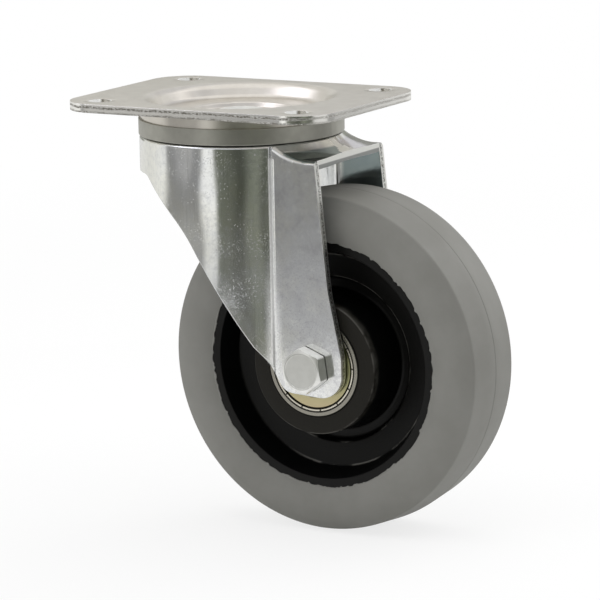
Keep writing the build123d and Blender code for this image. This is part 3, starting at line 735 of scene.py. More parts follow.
# %% [markdown]
# The lock nut holds the thread with a ring of blue nylon, which the thread has scuffed a little.
# Hardly any of it shows, but a flat colour gives a piece away as soon as it is seen close, so
# it gets a faint cloud and a fine grain.

# %% The lock nut's nylon
NYLON_BLUE, PALE_NYLON = (0.030, 0.090, 0.300), (0.045, 0.120, 0.360)


def blue_nylon():
    nylon = Finish("nylon_insert", roughness=0.4)
    cloudy = nylon.cloud(3, detail=3)
    fine = nylon.cloud(0.4, detail=2)
    nylon.set("Base Color", nylon.blend(cloudy.rise(0.3, 0.7), NYLON_BLUE, PALE_NYLON))
    nylon.set("Roughness", 0.36 + cloudy * 0.1)
    nylon.relief(fine * 0.4 + cloudy * 0.3, 0.04, rounded=0.2)
    return nylon


keep("nylon_insert", blue_nylon())

# %% [markdown]
# ## Dress the CAD
# Each CAD node arrives with a plain material named after its slot. The node itself stays as it
# is, and only the material in its slot is changed. That could be done piece by piece, but the
# names already match, so most of the castor is dressed in one loop.

# %% Give every CAD node its finish
dressed = 0
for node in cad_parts.values():
    for holder in node.material_slots:
        holder.material = finishes[holder.material.name.split(".")[0]]
        dressed += 1
print(len(finishes), "finishes on", dressed, "slots")

# %% [markdown]
# ## Turned pieces
# Most of what is remade here was turned or moulded about the axle, so a profile of radius and
# place along the axis is enough. The profile is carried round in even steps and joined into
# quads. Smooth shading with a sharp-edge limit keeps the turned corners crisp. Blender's Spin
# tool would do the same by hand, but steps in code are also ready for shapes that change on the
# way round, such as a hexagon or a thread.

# %% Make a piece from points and faces
SHARP_ABOVE = radians(25)


def put(name, data):
    """A new object in the scene, from a mesh, a lamp or a camera."""
    made = bpy.data.objects.new(name, data)
    bpy.context.scene.collection.objects.link(made)
    return made


def smooth_and_dress(mesh, finish):
    """Smooth shading with crisp edges, and the finish."""
    mesh.shade_smooth()
    mesh.set_sharp_from_angle(angle=SHARP_ABOVE)
    mesh.materials.clear()
    mesh.materials.append(finishes[finish])


def new_piece(name, points, faces, finish):
    mesh = bpy.data.meshes.new(name)
    mesh.from_pydata([tuple(point) for point in points], [], faces)
    mesh.validate()
    smooth_and_dress(mesh, finish)
    return put(name, mesh)


def across(angle, radius, along):
    """A point at that angle round the axle, radius from it and place along it, in metres."""
    return Vector((AXLE.x + radius * sin(angle), along, AXLE.z + radius * cos(angle)))


def upright(angle, radius, height):
    """A point at that angle round the swivel axis, radius from it and height, in metres."""
    return Vector((radius * sin(angle), -radius * cos(angle), height))


def turned(name, outline, steps, finish):
    """A ring about the axle with a closed outline of (radius, along) points."""
    points = [across(2 * pi * s / steps, r, a) for s in range(steps) for r, a in outline]
    count = len(outline)
    faces = []
    for s in range(steps):
        here, there = s * count, (s + 1) % steps * count
        for i in range(count):
            j = (i + 1) % count
            faces.append((here + i, there + i, there + j, here + j))
    return new_piece(name, points, faces, finish)


print("edges stay crisp above", round(degrees(SHARP_ABOVE)), "degrees")

# %% [markdown]
# A profile drawn with straight runs looks machined everywhere. Moulded rubber and plastic have
# bulges and rounded corners, so two helpers draw those: an arc through three points, and the
# arc that takes the place of a corner.

# %% Arcs for a profile
def three_point_arc(a, b, c, steps):
    """Points on the circle through a, b and c, from a to c, without a itself."""
    (ax, ay), (bx, by), (cx, cy) = a, b, c
    d = 2 * (ax * (by - cy) + bx * (cy - ay) + cx * (ay - by))
    a2, b2, c2 = ax * ax + ay * ay, bx * bx + by * by, cx * cx + cy * cy
    ox = (a2 * (by - cy) + b2 * (cy - ay) + c2 * (ay - by)) / d
    oy = (a2 * (cx - bx) + b2 * (ax - cx) + c2 * (bx - ax)) / d
    radius = hypot(ax - ox, ay - oy)
    start, end = atan2(ay - oy, ax - ox), atan2(cy - oy, cx - ox)
    turn = [start + (end - start) * k / steps for k in range(1, steps + 1)]
    return [(ox + radius * cos(t), oy + radius * sin(t)) for t in turn]


def rounded_corner(before, corner, after, radius, steps=5):
    """The arc of that radius that replaces a corner of an outline."""
    b, c, a = Vector(before), Vector(corner), Vector(after)
    to_b, to_a = (b - c).normalized(), (a - c).normalized()
    half = to_b.angle(to_a) / 2
    reach = radius / tan(half)
    centre = c + (to_b + to_a).normalized() * radius / sin(half)
    start, end = c + to_b * reach, c + to_a * reach
    arc = []
    for k in range(steps + 1):
        spoke = (start - centre).normalized().slerp((end - centre).normalized(), k / steps)
        arc.append(tuple(centre + spoke * radius))
    return arc


print("a square corner becomes", len(rounded_corner((0, 1), (0, 0), (1, 0), 0.1)), "points")

# %% [markdown]
# ## The tyre
# The real tyre has a low roof-shaped tread with a mould line round its middle, rounded
# shoulders, and walls that bulge a little and then fall in towards the rim. The outline below
# walks over one half of that section and is mirrored for the other half. It could be drawn as
# a curve and spun, but written as points, each radius is a named value. Its outer reach is the
# CAD tyre's own.

# %% Outline of the tyre
TREAD_DROP = 1.5 * MM
SHOULDER_Y = 18.9 * MM
SHOULDER_ROUND = 1.6 * MM
MOULD_LINE_DEPTH = 0.16 * MM
RIM_R = 58.4 * MM
RIM_KEY_R = 60.92 * MM
RIM_KEY_Y = 6.02 * MM
FOOT_Y = 21.2 * MM
BULGE_R = WHEEL_R - 13.0 * MM
FIT = 0.02 * MM
WALL_STEPS, TREAD_STEPS, TURN_STEPS = 22, 8, 240


def tyre_outline():
    shoulder = (WHEEL_R - TREAD_DROP, SHOULDER_Y)
    bulge, foot = (BULGE_R, TYRE_HALF_WIDTH), (RIM_R, FOOT_Y)
    wall = three_point_arc(shoulder, bulge, foot, WALL_STEPS)
    line_r = WHEEL_R - MOULD_LINE_DEPTH
    mould_line = [(WHEEL_R, 0.0), (line_r, 0.25 * MM), (line_r, 0.9 * MM)]
    along_tread = [k / TREAD_STEPS for k in range(1, TREAD_STEPS)]
    tread = [(WHEEL_R - TREAD_DROP * share, SHOULDER_Y * share) for share in along_tread]
    corner = rounded_corner(tread[-1], shoulder, wall[3], SHOULDER_ROUND)
    seat = [(RIM_R + FIT, FOOT_Y), (RIM_R + FIT, RIM_KEY_Y), (RIM_KEY_R, RIM_KEY_Y)]
    half = mould_line + tread + corner + wall[4:-1] + seat
    mirrored = [(r, -a) for r, a in reversed(half) if a > 0]
    return half + mirrored


tyre = turned("moulded_tyre", tyre_outline(), TURN_STEPS, "grey_rubber")
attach(tyre, "wheel")
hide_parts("tyre")
print("tyre faces", len(tyre.data.polygons))

# %% [markdown]
# ## The wheel centre
# The black centre is one plastic moulding: a hub round the bearings, a thin web, and a rim under
# the tyre. CAD keeps it as three rings, so the scene gets one skin over all three, turned like
# the tyre. Its walls lean so that it can leave the mould, and every corner is softly rounded.

# %% Outline of the wheel centre
HUB_BORE_R = 20.5 * MM
SEAT_R = 23.52 * MM
SEAT_DEPTH = 14.0 * MM
BOSS_R = 31.6 * MM
BOSS_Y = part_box("wheel_hub")[1].y
BOSS_FOOT_R = 33.2 * MM
WEB_HALF_T = 3.8 * MM
WEB_OUTER_R = 38.0 * MM
STEP_R, STEP_Y = 39.4 * MM, 8.0 * MM
RIM_FOOT_R, RIM_FOOT_Y = 50.3 * MM, 9.5 * MM
LIP_R = 54.2 * MM
KEY_Y = 6.0 * MM
bearing_face_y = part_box("far_outer_ring")[1].y


def softened(corners):
    """The outline through (radius, along, rounding) corners, with each corner rounded."""
    outline = []
    for i, (r, a, rounding) in enumerate(corners):
        if rounding:
            before, after = corners[i - 1][:2], corners[(i + 1) % len(corners)][:2]
            outline += rounded_corner(before, (r, a), after, rounding)
        else:
            outline.append((r, a))
    return outline


def wheel_centre_outline():
    seat_back = bearing_face_y - SEAT_DEPTH
    half = [
        (HUB_BORE_R, seat_back, 0.3 * MM),
        (SEAT_R, seat_back, 0),
        (SEAT_R, BOSS_Y, 0.25 * MM),
        (BOSS_R, BOSS_Y, 0.8 * MM),
        (BOSS_FOOT_R, WEB_HALF_T, 1.5 * MM),
        (WEB_OUTER_R, WEB_HALF_T, 1.5 * MM),
        (STEP_R, STEP_Y, 1.0 * MM),
        (RIM_FOOT_R, RIM_FOOT_Y, 1.8 * MM),
        (LIP_R, rim_lip_y, 0.6 * MM),
        (RIM_R, rim_lip_y, 0),
        (RIM_R, KEY_Y, 0),
        (RIM_KEY_R - FIT, KEY_Y, 0),
    ]
    mirrored = [(r, -a, rounding) for r, a, rounding in reversed(half)]
    return softened(half + mirrored)


centre = turned("wheel_centre", wheel_centre_outline(), TURN_STEPS, "black_plastic")
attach(centre, "wheel")
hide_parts("wheel_hub", "wheel_web", "wheel_rim")
print("wheel centre faces", len(centre.data.polygons))

# %% [markdown]
# ## The rubber's ragged edge
# Where the rubber was moulded against the rim it crept a little over the black lip and tore
# unevenly when the mould opened. Pushing the tyre's own mesh about would need a great many
# faces for so thin an edge, so a narrow skin on each side of the wheel shows it. Its inner edge
# wanders with noise and has small nicks, and its outer edge is hidden on the tyre.

# %% Where the skin's edge wanders
SKIN_CREEP = 0.9 * MM
SKIN_NICK = 1.3 * MM
SLOW, QUICK, NICKS = 3.0, 14.0, 33.0


def wander(angle, waves, seed):
    """Smooth noise that meets itself again after a whole turn."""
    return noise.noise(Vector((waves * cos(angle), waves * sin(angle), seed)))


def skin_edge(angle, side):
    """The skin's inner radius at that angle."""
    slow = wander(angle, SLOW, side * 5.0)
    quick = wander(angle, QUICK, side * 9.0)
    nicks = max(0.0, wander(angle, NICKS, side) - 0.12)
    return RIM_R - SKIN_CREEP * (0.5 + slow) - SKIN_NICK * (0.45 * quick + nicks)


near_edge = [skin_edge(radians(degree), -1) / MM for degree in range(360)]
print("the near skin's edge runs from", round(min(near_edge), 2), "to", round(max(near_edge), 2))

# %% [markdown]
# The skin has four points at each step, so it is a closed band with a thickness. A flat sheet
# would look the same from the front, but would show no edge from the side.

# %% Skin of rubber over each lip
SKIN_STEPS = 720
SKIN_T = 0.22 * MM
SKIN_OUTER_R = RIM_R + 0.8 * MM
SKIN_SLOPE = 0.25 * MM
SINK = 0.01 * MM


def rubber_skin(name, side):
    lip = side * rim_lip_y
    points, faces = [], []
    for s in range(SKIN_STEPS):
        angle = 2 * pi * s / SKIN_STEPS
        edge = skin_edge(angle, side)
        section = (
            (SKIN_OUTER_R, lip + side * 2 * SINK),
            (SKIN_OUTER_R, lip + side * SKIN_T),
            (edge + SKIN_SLOPE, lip + side * SKIN_T),
            (edge, lip + side * SINK),
        )
        points += [across(angle, r, a) for r, a in section]
    for s in range(SKIN_STEPS):
        here, there = 4 * s, 4 * ((s + 1) % SKIN_STEPS)
        for i in range(4):
            j = (i + 1) % 4
            quad = (here + i, here + j, there + j, there + i)
            faces.append(quad if side < 0 else quad[::-1])
    return new_piece(name, points, faces, "grey_rubber")


for side, side_name in ((-1, "near"), (1, "far")):
    skin = rubber_skin(f"{side_name}_rubber_skin", side)
    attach(skin, "wheel")
    print(skin.name, "faces", len(skin.data.polygons))

# %% [markdown]
# ## Bearing shields
# The shield is held by its rim, which is rolled into a groove of the outer ring at a set number
# of places. The rolled lengths show as bright bars with dark gaps. They repeat round a circle,
# so Geometry Nodes makes them: one short arc with a rounded section, copied round the axis.
# Instances cost nothing while they stay instances, but they are made real at the end of the
# tree, because an exported file has no place for them.

# %% A tree with named sizes
def new_tree(name, sizes):
    """A Geometry Nodes tree with a number input for each size, and its input node."""
    tree = bpy.data.node_groups.new(name, "GeometryNodeTree")
    tree.interface.new_socket("Geometry", in_out="INPUT", socket_type="NodeSocketGeometry")
    for label, value in sizes.items():
        kind = "NodeSocketInt" if isinstance(value, int) else "NodeSocketFloat"
        socket = tree.interface.new_socket(label, in_out="INPUT", socket_type=kind)
        socket.default_value = value
    tree.interface.new_socket("Geometry", in_out="OUTPUT", socket_type="NodeSocketGeometry")
    return tree, add_node(tree, "NodeGroupInput")


def end_tree(tree, copies, material):
    """Make the copies real, give them their material, and hand them out."""
    real = add_node(tree, "GeometryNodeRealizeInstances", {"Geometry": copies})
    sockets = {"Geometry": real.outputs[0], "Material": material}
    painted = add_node(tree, "GeometryNodeSetMaterial", sockets)
    add_node(tree, "NodeGroupOutput", {0: painted.outputs[0]})


print("trees are built by", new_tree.__name__, "and", end_tree.__name__)

# %% [markdown]
# The gap between two bars is taken from each bar's share of the turn, so a different count still
# closes the circle. The same `Wire` sums that mix the finishes work in this tree too.

# %% The tree for bars round a circle
CRIMP_SIZES = {
    "Count": 13, "Radius": 20.25 * MM, "Gap": 0.035, "Width": 0.75 * MM, "Height": 0.5 * MM,
}
BAR_STEPS = 14
BAR_ROUND = 0.15 * MM


def bars_tree(sizes, material):
    tree, start = new_tree("bars_round_a_circle", sizes)
    count = Wire(tree, start.outputs["Count"])
    share = 2 * pi / count
    sweep = share - Wire(tree, start.outputs["Gap"])
    sockets = {"Resolution": BAR_STEPS, "Radius": start.outputs["Radius"], "Sweep Angle": sweep}
    arc = add_node(tree, "GeometryNodeCurveArc", sockets)
    sockets = {"Width": start.outputs["Width"], "Height": start.outputs["Height"]}
    section = add_node(tree, "GeometryNodeCurvePrimitiveQuadrilateral", sockets)
    sockets = {"Curve": section.outputs[0], "Radius": BAR_ROUND, "Count": 3}
    rounded = add_node(tree, "GeometryNodeFilletCurve", sockets, mode="POLY")
    sockets = {"Curve": arc.outputs[0], "Profile Curve": rounded.outputs[0], "Fill Caps": True}
    bar = add_node(tree, "GeometryNodeCurveToMesh", sockets)
    spots = add_node(tree, "GeometryNodePoints", {"Count": count})
    index = Wire(tree, add_node(tree, "GeometryNodeInputIndex").outputs[0])
    spin = add_node(tree, "ShaderNodeCombineXYZ", {"Z": index * share})
    sockets = {"Points": spots.outputs[0], "Instance": bar.outputs[0], "Rotation": spin.outputs[0]}
    copies = add_node(tree, "GeometryNodeInstanceOnPoints", sockets)
    end_tree(tree, copies.outputs[0], material)
    return tree


crimps = bars_tree(CRIMP_SIZES, finishes["bearing_steel"])
print("the tree has", len(crimps.nodes), "nodes")

# %% [markdown]
# A tree is only a recipe. It is run by a modifier on an empty mesh, and what comes out is kept
# as a plain mesh, so nothing is left that could change later. A modifier knows its inputs by an
# identifier and not by the name that a person reads, so each one is looked up first.

# %% Run the tree once for each side
CRIMP_PHASE = radians(3.0)
CRIMP_SINK = 0.1 * MM


def from_tree(name, tree, sizes, finish, matrix):
    holder = put(name, bpy.data.meshes.new(name))
    modifier = holder.modifiers.new("made", "NODES")
    modifier.node_group = tree
    for item in tree.interface.items_tree:
        if item.in_out == "INPUT" and item.name in sizes:
            modifier[item.identifier] = sizes[item.name]
    view = bpy.context.evaluated_depsgraph_get()
    view.update()
    mesh = bpy.data.meshes.new_from_object(holder.evaluated_get(view), depsgraph=view)
    holder.modifiers.remove(modifier)
    mesh.transform(matrix)
    mesh.name = name
    smooth_and_dress(mesh, finish)
    holder.data = mesh
    return holder


for side, side_name in ((-1, "near"), (1, "far")):
    shield_low, shield_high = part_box(f"{side_name}_outer_shield")
    face_y = shield_low.y if side < 0 else shield_high.y
    stand = Matrix.Translation((AXLE.x, face_y - side * CRIMP_SINK, AXLE.z))
    upended = Matrix.Rotation(pi / 2, 4, "X") @ Matrix.Rotation(CRIMP_PHASE, 4, "Z")
    name = f"{side_name}_shield_crimps"
    ring = from_tree(name, crimps, CRIMP_SIZES, "bearing_steel", stand @ upended)
    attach(ring, "wheel")
    print(ring.name, "faces", len(ring.data.polygons))

# %% [markdown]
# ## Hexagons with turned corners
# A bolt head or nut is a hexagon whose corners are turned down by a cone, which leaves a round
# face with six curved shoulders. A six-sided prism with a Bevel modifier has straight shoulders
# and looks wrong at once. So the mesh walks round the hexagon in fine steps. At each step the
# distance from the middle gives the height lost to the cone, and the curves come out by
# themselves.

# %% Rings for a chamfered hexagon
HEX_STEPS = 144
CHAMFER_SLOPE = tan(radians(22))
HEX_ROUND = 0.012


def hex_radius(angle, across_flats, turn):
    """The distance from the middle to the hexagon's side at that angle."""
    off_flat = (angle - turn) % (pi / 3) - pi / 6
    corner_r = across_flats / sqrt(3) - HEX_ROUND * across_flats
    return min(across_flats / 2 / cos(off_flat), corner_r)


def circles(*sizes):
    """A ring, as a function of angle, for each (radius, along)."""
    return [lambda angle, size=size: size for size in sizes]


def hex_rings(across_flats, face_r, turn, first, second, second_cut=True):
    """Four rings for the hexagon that stands between two places along its axis."""
    way = 1 if second > first else -1

    def face(place):
        return lambda angle: (min(face_r, hex_radius(angle, across_flats, turn)), place)

    def side(place, cut, inward):
        def ring(angle):
            radius = hex_radius(angle, across_flats, turn)
            drop = max(0.0, radius - face_r) * CHAMFER_SLOPE if cut else 0.0
            return radius, place + inward * way * drop

        return ring

    return [face(first), side(first, True, 1), side(second, second_cut, -1), face(second)]


print("a 19 mm hexagon is", round(2 * hex_radius(0, 19, 0), 2), "mm over its corners")

# %% [markdown]
# The rings are joined one to the next. An open row of rings gets a cap at both ends, as a bolt
# has, and a closed row joins its last ring to its first, as a nut does round its bore. The
# faces are turned outwards at the end, so the order of the rings doesn't matter.

# %% Join rings into a skin
WELD = 1e-7


def face_outwards(piece):
    """Turn all faces of a closed piece so that they point out of it."""
    work = bmesh.new()
    work.from_mesh(piece.data)
    bmesh.ops.remove_doubles(work, verts=work.verts, dist=WELD)
    bmesh.ops.recalc_face_normals(work, faces=work.faces)
    work.to_mesh(piece.data)
    work.free()
    piece.data.shade_smooth()
    piece.data.set_sharp_from_angle(angle=SHARP_ABOVE)
    return piece


def ringed(name, rings, finish, around=across, joined=False):
    """A skin over a list of rings, each a function of angle that gives (radius, along)."""
    steps = range(HEX_STEPS)
    turns = [2 * pi * s / HEX_STEPS for s in steps]
    points = [around(turn, *ring(turn)) for ring in rings for turn in turns]
    last = len(rings) - 1
    pairs = [(a, a + 1) for a in range(last)] + ([(last, 0)] if joined else [])
    faces = []
    for a, b in pairs:
        a, b = a * HEX_STEPS, b * HEX_STEPS
        for s in steps:
            t = (s + 1) % HEX_STEPS
            faces.append((a + s, a + t, b + t, b + s))
    if not joined:
        faces.append([s for s in reversed(steps)])
        faces.append([last * HEX_STEPS + s for s in steps])
    return face_outwards(new_piece(name, points, faces, finish))


print("each ring has", HEX_STEPS, "points")

# %% [markdown]
# ## Threads
# The free ends of the axle bolt and the kingpin are threaded. A thread's crest climbs by one
# pitch in each turn. The Screw modifier can make one from a profile, but its two ends stay
# open. Here the shank is a skin over rings whose radius follows the angle and the place along
# the axis, so the thread fades out at both ends and the bolt stays one closed piece.

# %% Threaded length as rings
THREAD_STEPS_PER_PITCH = 8
FLANK_SLOPE, CREST_FLAT = 1.35, 0.2
FADE_TURNS = 0.25


def thread_rings(crest_r, depth, pitch, first, second):
    """Rings whose radius follows a thread from first to second along the axis."""
    length = abs(second - first)
    way = 1 if second > first else -1
    count = ceil(length / pitch * THREAD_STEPS_PER_PITCH)

    def ring_at(gone):
        def ring(angle):
            turn = (gone / pitch - way * angle / (2 * pi)) % 1.0
            groove = min(1.0, max(0.0, FLANK_SLOPE * abs(2 * turn - 1) - CREST_FLAT))
            fade = min(1.0, gone / pitch, (length - gone) / pitch + FADE_TURNS)
            return crest_r - depth * groove * max(0.0, fade), first + way * gone

        return ring

    return [ring_at(length * k / count) for k in range(count + 1)]


print("a turn of thread is", THREAD_STEPS_PER_PITCH, "rings")

# %% [markdown]
# ## The fasteners
# The axle bolt is one row of rings from its head to its tip. A hexagon pushed on to a cylinder
# would look alike, but would leave faces inside that nobody sees. A shallow round line on the
# face is left by the die that formed the head, and a thin washer face keeps the corners off
# the fork.

# %% Axle bolt
HEX_AF = 19.0 * MM
HEX_TURN = radians(-8)
HEX_FACE_R = 8.6 * MM
AXLE_R = 6.0 * MM
BOLT_PITCH = 1.75 * MM
BOLT_THREAD = 22 * MM
BOLT_THREAD_DEPTH = 1.0 * MM
BOLT_POINT = 0.6 * MM
WASHER_FACE_T = 0.6 * MM
WASHER_FACE_R = 8.8 * MM
RING_LINE_R = 8.0 * MM
RING_LINE_T = 0.12 * MM
NECK = 0.4 * MM
TIP_R = 0.05 * MM

head_face, head_back = head_low.y, -LEG_OUTER_Y * MM
washer_face = head_back - WASHER_FACE_T
line_y = head_face + RING_LINE_T
bolt_end = head_high.y
thread_start, thread_end = bolt_end - BOLT_THREAD, bolt_end - BOLT_POINT
bolt = ringed(
    "hex_axle_bolt",
    circles((TIP_R, line_y), (RING_LINE_R - 0.1 * MM, line_y), (RING_LINE_R, head_face))
    + hex_rings(HEX_AF, HEX_FACE_R, HEX_TURN, head_face, washer_face, second_cut=False)
    + circles((WASHER_FACE_R, washer_face), (WASHER_FACE_R, head_back))
    + circles((AXLE_R + NECK, head_back), (AXLE_R, head_back + NECK))
    + thread_rings(AXLE_R, BOLT_THREAD_DEPTH, BOLT_PITCH, thread_start, thread_end)
    + circles((AXLE_R - 1.1 * MM, bolt_end), (TIP_R, bolt_end)),
    "zinc_plated_fastener",
)
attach(bolt, "swivel_fork")
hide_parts("axle_bolt")
print("bolt faces", len(bolt.data.polygons))

# %% [markdown]
# The lock nut is a hexagon with a round collar, rolled in over the nylon ring. A bore could be
# cut out of a solid with a Boolean, but that leaves ragged faces which shade badly. Here the row
# of rings goes down the bore and is joined end to end, so the mesh stays even.

# %% Lock nut
BORE_R = 6.1 * MM
COLLAR_R = 8.6 * MM
COLLAR_HEIGHT = 3.2 * MM
COLLAR_LIP_R = 6.9 * MM
LIP_DEPTH = 1.0 * MM

nut_face, nut_end = lock_high.y - COLLAR_HEIGHT, lock_high.y
lock_nut = ringed(
    "collared_lock_nut",
    circles((BORE_R, lock_low.y))
    + hex_rings(HEX_AF, HEX_FACE_R, 0.0, lock_low.y, nut_face)
    + circles((COLLAR_R, nut_face + 0.3 * MM), (COLLAR_R, nut_end - 1.2 * MM))
    + circles((COLLAR_R - 0.45 * MM, nut_end - 0.35 * MM), (COLLAR_LIP_R + 0.4 * MM, nut_end))
    + circles((COLLAR_LIP_R, nut_end - 0.2 * MM), (COLLAR_LIP_R, nut_end - LIP_DEPTH))
    + circles((BORE_R, nut_end - LIP_DEPTH)),
    "zinc_plated_fastener",
    joined=True,
)
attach(lock_nut, "swivel_fork")
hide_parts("lock_nut")
print("lock nut faces", len(lock_nut.data.polygons))

# %% [markdown]
# The kingpin's head lies in the middle of the plate's dish. It is shallow, dished where it was
# pressed, and rounded at its rim. Below the swivel bearing the pin is threaded for its nut. It
# stands upright, so its rings are carried round the swivel axis and not the axle.

# %% Kingpin
PIN_R = 7.0 * MM
PIN_PITCH = 2.0 * MM
PIN_THREAD_DEPTH = 1.1 * MM
PIN_POINT = 0.6 * MM
PIN_HEAD_R = pin_high.x
PIN_HEAD_HEIGHT = 2.5 * MM
DIMPLE_R, DIMPLE_RIM_R = 5.0 * MM, 6.2 * MM
DIMPLE_DEPTH = 0.3 * MM

pin_top = pin_high.z
pin_seat, pin_point = pin_top - PIN_HEAD_HEIGHT, pin_low.z + PIN_POINT
kingpin = ringed(
    "riveted_kingpin",
    circles((TIP_R, pin_top - DIMPLE_DEPTH), (DIMPLE_R, pin_top - DIMPLE_DEPTH))
    + circles((DIMPLE_RIM_R, pin_top), (PIN_HEAD_R - 1.6 * MM, pin_top))
    + circles((PIN_HEAD_R - 0.5 * MM, pin_top - 0.5 * MM), (PIN_HEAD_R, pin_top - 1.3 * MM))
    + circles((PIN_HEAD_R, pin_seat), (PIN_R, pin_seat))
    + thread_rings(PIN_R, PIN_THREAD_DEPTH, PIN_PITCH, pin_nut_high.z, pin_point)
    + circles((PIN_R - 1.2 * MM, pin_low.z), (TIP_R, pin_low.z)),
    "zinc_plated_fastener",
    around=upright,
)
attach(kingpin, "plate")
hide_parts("kingpin")
print("kingpin faces", len(kingpin.data.polygons))

# %% [markdown]
# The kingpin's nut is a plain hexagon with a bore. It is seen only from below, so the rings
# that the other fasteners are made of are enough, with no collar or washer face.

# %% Kingpin nut
PIN_NUT_AF = 21.0 * MM
PIN_NUT_FACE_R = 9.9 * MM
PIN_NUT_TURN = radians(30)
PIN_BORE_R = 7.1 * MM

nut_top, nut_bottom = pin_nut_high.z, pin_nut_low.z
pin_nut = ringed(
    "hex_kingpin_nut",
    circles((PIN_BORE_R, nut_top))
    + hex_rings(PIN_NUT_AF, PIN_NUT_FACE_R, PIN_NUT_TURN, nut_top, nut_bottom)
    + circles((PIN_BORE_R, nut_bottom)),
    "zinc_plated_fastener",
    around=upright,
    joined=True,
)
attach(pin_nut, "plate")
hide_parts("kingpin_nut")
print("kingpin nut faces", len(pin_nut.data.polygons))

# %% [markdown]
# ## Camera
# The castor is seen from its front right and a little above, through a long lens, so its upright
# lines stay nearly parallel. The camera's three axes are worked out from two angles and a small
# roll. Blender can aim a camera with a Track To constraint, but written out as a matrix the aim
# can't be upset by anything that moves later.

# %% Camera
CAMERA_AZIMUTH = radians(29.72)
CAMERA_ELEVATION = radians(10.86)
CAMERA_ROLL = radians(-1.18)
CAMERA_TARGET = Vector((0.020, 0.0, -0.100))
CAMERA_OFFSET = Vector((0.00820, 0.00398, 1.82906))
SENSOR_WIDTH = 36.0
FOCAL_PIXELS = 3894.44
PICTURE_PIXELS = 600

level = Vector((cos(CAMERA_AZIMUTH), sin(CAMERA_AZIMUTH), 0))
back = Vector(
    (
        sin(CAMERA_AZIMUTH) * cos(CAMERA_ELEVATION),
        -cos(CAMERA_AZIMUTH) * cos(CAMERA_ELEVATION),
        sin(CAMERA_ELEVATION),
    )
)
lift = back.cross(level)
right = cos(CAMERA_ROLL) * level + sin(CAMERA_ROLL) * lift
up = cos(CAMERA_ROLL) * lift - sin(CAMERA_ROLL) * level
turn_to_camera = Matrix((right, up, back)).transposed()
camera_place = Matrix.Translation(CAMERA_TARGET + turn_to_camera @ CAMERA_OFFSET)
camera = put("camera", bpy.data.cameras.new("camera"))
camera.matrix_world = camera_place @ turn_to_camera.to_4x4()
camera.data.sensor_width = SENSOR_WIDTH
camera.data.lens = FOCAL_PIXELS * SENSOR_WIDTH / PICTURE_PIXELS
bpy.context.scene.camera = camera
print("lens", round(camera.data.lens, 1), "mm, camera", [round(v, 3) for v in camera.location])

# %% [markdown]
# ## Floor
# The castor stands on a pale, matt floor that fades into white with distance, so no horizon
# shows. A stronger lamp would whiten it too, but would wash out the castor. So the white is
# added only for what the camera sees and for reflections: it lights nothing, and the floor keeps
# the soft shadow under the wheel. Its underside is clear, so the castor can be seen from below.

# %% The floor's finish
FADE_START, FADE_END = 0.25, 1.1
NEAR_WHITE = 0.78
MIRRORED_WHITE = 0.50
FLOOR_PALE = (0.90, 0.90, 0.895)


def seen_and_mirrored(tree):
    """1 for a ray from the camera, and 1 for a reflection or a look through glass."""
    ray = add_node(tree, "ShaderNodeLightPath")
    glossy, through = ray.outputs["Is Glossy Ray"], ray.outputs["Is Transmission Ray"]
    return Wire(tree, ray.outputs["Is Camera Ray"]), Wire(tree, glossy).most(through)


def floor_finish():
    pale = Finish("pale_floor", FLOOR_PALE, roughness=0.9)
    x, y, _ = pale.place()
    far_off = (distance(x, y) * MM).rise(FADE_START, FADE_END)
    seen, mirrored = seen_and_mirrored(pale.tree)
    white = pale.node("ShaderNodeEmission", {"Color": (1, 1, 1), "Strength": 1.0})
    near_white = (seen * NEAR_WHITE).most(mirrored * MIRRORED_WHITE)
    paleness = near_white + seen.most(mirrored) * (1 - near_white) * far_off
    sockets = {0: paleness, 1: pale.shader.outputs[0], 2: white.outputs[0]}
    mixed = pale.node("ShaderNodeMixShader", sockets)
    under = pale.node("ShaderNodeNewGeometry").outputs["Backfacing"]
    clear = pale.node("ShaderNodeBsdfTransparent")
    sockets = {0: under, 1: mixed.outputs[0], 2: clear.outputs[0]}
    both = pale.node("ShaderNodeMixShader", sockets)
    feed(pale.tree, pale.output.inputs["Surface"], both.outputs[0])
    return pale


floor_pale = floor_finish()
print("the floor's finish has", len(floor_pale.tree.nodes), "nodes")

# %% [markdown]
# The floor itself is one flat disc at the foot of the tyre. A square plane would do as well, but
# a disc ends at the same distance on every side.

# %% Floor
FLOOR_R = 9.0
FLOOR_SIDES = 64


def round_about(radius, sides):
    """Points on a circle round the swivel axis."""
    turns = [2 * pi * k / sides for k in range(sides)]
    return [(radius * cos(turn), radius * sin(turn)) for turn in turns]


def backdrop(name, points, faces, finish):
    mesh = bpy.data.meshes.new(name)
    mesh.from_pydata(points, [], faces)
    mesh.materials.append(finish.material)
    return put(name, mesh)


corners = [(x, y, FLOOR_Z) for x, y in round_about(FLOOR_R, FLOOR_SIDES)]
floor = backdrop("floor", corners, [list(range(FLOOR_SIDES))], floor_pale)
print("floor", 2 * FLOOR_R, "m across at", round(FLOOR_Z / MM, 2), "mm")

# %% [markdown]
# ## A ring of cards
# Plated steel has hardly any colour of its own: it looks like what surrounds it. So a ring of
# soft cards stands round the castor, as in a product studio, and only reflections see it. It
# could be built from many separate planes, but one band with a painted finish is easier to
# tune. The table below gives its brightness all the way round: white panels with grey and
# dark ones between them draw the upright bands on the fork's round front.

